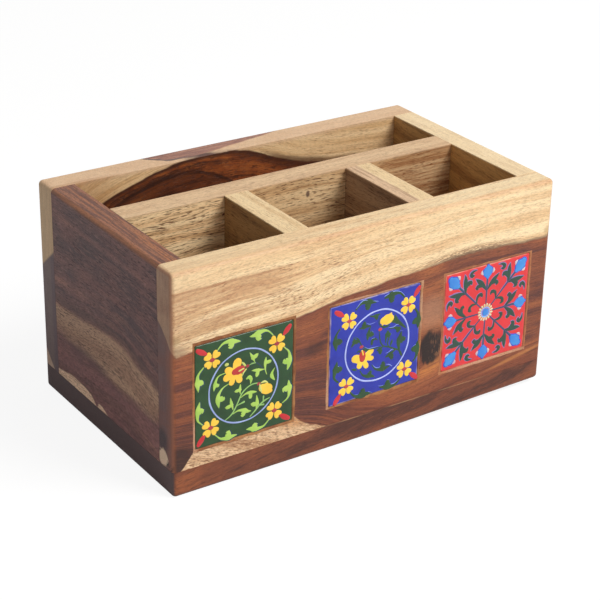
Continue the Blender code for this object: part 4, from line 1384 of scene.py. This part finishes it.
# Floor, lamps and world: lamps as name, place, size, watts and tint
floor_size = 6
floor_drop = 0.05 * MM
floor_colour = (0.9, 0.9, 0.9, 1)
white = (1, 1, 1, 1)
floor_glow = 1.08
floor_glow_share = 0.82
world_light = 0.25
lamp_aim = Vector((0, 0, 0.05))
lamps = (
    ("key", (0.72, -0.98, 1.36), 0.9, 29.5, (1, 0.985, 0.96)),
    ("fill", (-1.2, -0.7, 0.5), 1.0, 3.0, (0.95, 0.97, 1)),
)


def make_camera():
    data = bpy.data.cameras.new("camera")
    data.lens = camera_lens
    data.sensor_width = sensor_width
    data.clip_start = 0.01
    data.clip_end = 20.0
    camera = bpy.data.objects.new("camera", data)
    bpy.context.scene.collection.objects.link(camera)
    level = math.cos(camera_elevation)
    back = Vector((
        math.sin(camera_azimuth) * level, -math.cos(camera_azimuth) * level, math.sin(camera_elevation)))
    right = Vector((math.cos(camera_azimuth), math.sin(camera_azimuth), 0))
    up = back.cross(right)
    turned_right = right * math.cos(camera_roll) + up * math.sin(camera_roll)
    turned_up = up * math.cos(camera_roll) - right * math.sin(camera_roll)
    eye = camera_aim + back * camera_distance + turned_right * camera_slide.x + turned_up * camera_slide.y
    turn = Matrix((turned_right, turned_up, back)).transposed()
    camera.matrix_world = Matrix.Translation(eye) @ turn.to_4x4()
    bpy.context.scene.camera = camera


def make_floor():
    """A pale floor that looks white and keeps a faint shadow."""
    s = Shader(bpy.data.materials.new("pale_floor"))
    s.nodes.clear()
    plain = s.node("ShaderNodeBsdfDiffuse", {"Color": floor_colour})
    lit = s.node("ShaderNodeEmission", {"Color": white, "Strength": floor_glow})
    seen = s.node("ShaderNodeLightPath", output="Is Camera Ray") * floor_glow_share
    output = s.nodes.new("ShaderNodeOutputMaterial")
    s.put(output.inputs["Surface"], s.node("ShaderNodeMixShader", {0: seen, 1: plain, 2: lit}))
    bm = bmesh.new()
    bmesh.ops.create_grid(bm, x_segments=1, y_segments=1, size=floor_size)
    floor = shown("floor", bm, s.owner)
    floor.location.z = -floor_drop


def make_lamp(name, place, size, watts, tint):
    """A softbox that points at the object."""
    data = bpy.data.lights.new(name, "AREA")
    data.shape = "SQUARE"
    data.size = size
    data.energy = watts
    data.color = tint
    lamp = bpy.data.objects.new(name, data)
    lamp.location = place
    lamp.rotation_mode = "QUATERNION"
    lamp.rotation_quaternion = (lamp_aim - Vector(place)).to_track_quat("-Z", "Y")
    bpy.context.scene.collection.objects.link(lamp)


def make_world():
    """A white studio: dim as a light, white where it is seen or mirrored."""
    s = Shader(bpy.data.worlds.new("studio"))
    background = s.nodes["Background"]
    background.inputs["Color"].default_value = white
    rays = s.nodes.new("ShaderNodeLightPath").outputs
    kinds = ("Is Camera Ray", "Is Glossy Ray", "Is Transmission Ray")
    seen = s.largest(*(Field(s, rays[kind]) for kind in kinds))
    strength = s.node("ShaderNodeMapRange", {"Value": seen, "To Min": world_light, "To Max": 1.0})
    s.put(background.inputs["Strength"], strength)
    bpy.context.scene.world = s.owner


make_camera()
make_floor()
make_world()
for lamp in lamps:
    make_lamp(*lamp)
bpy.context.scene.view_settings.view_transform = "Standard"
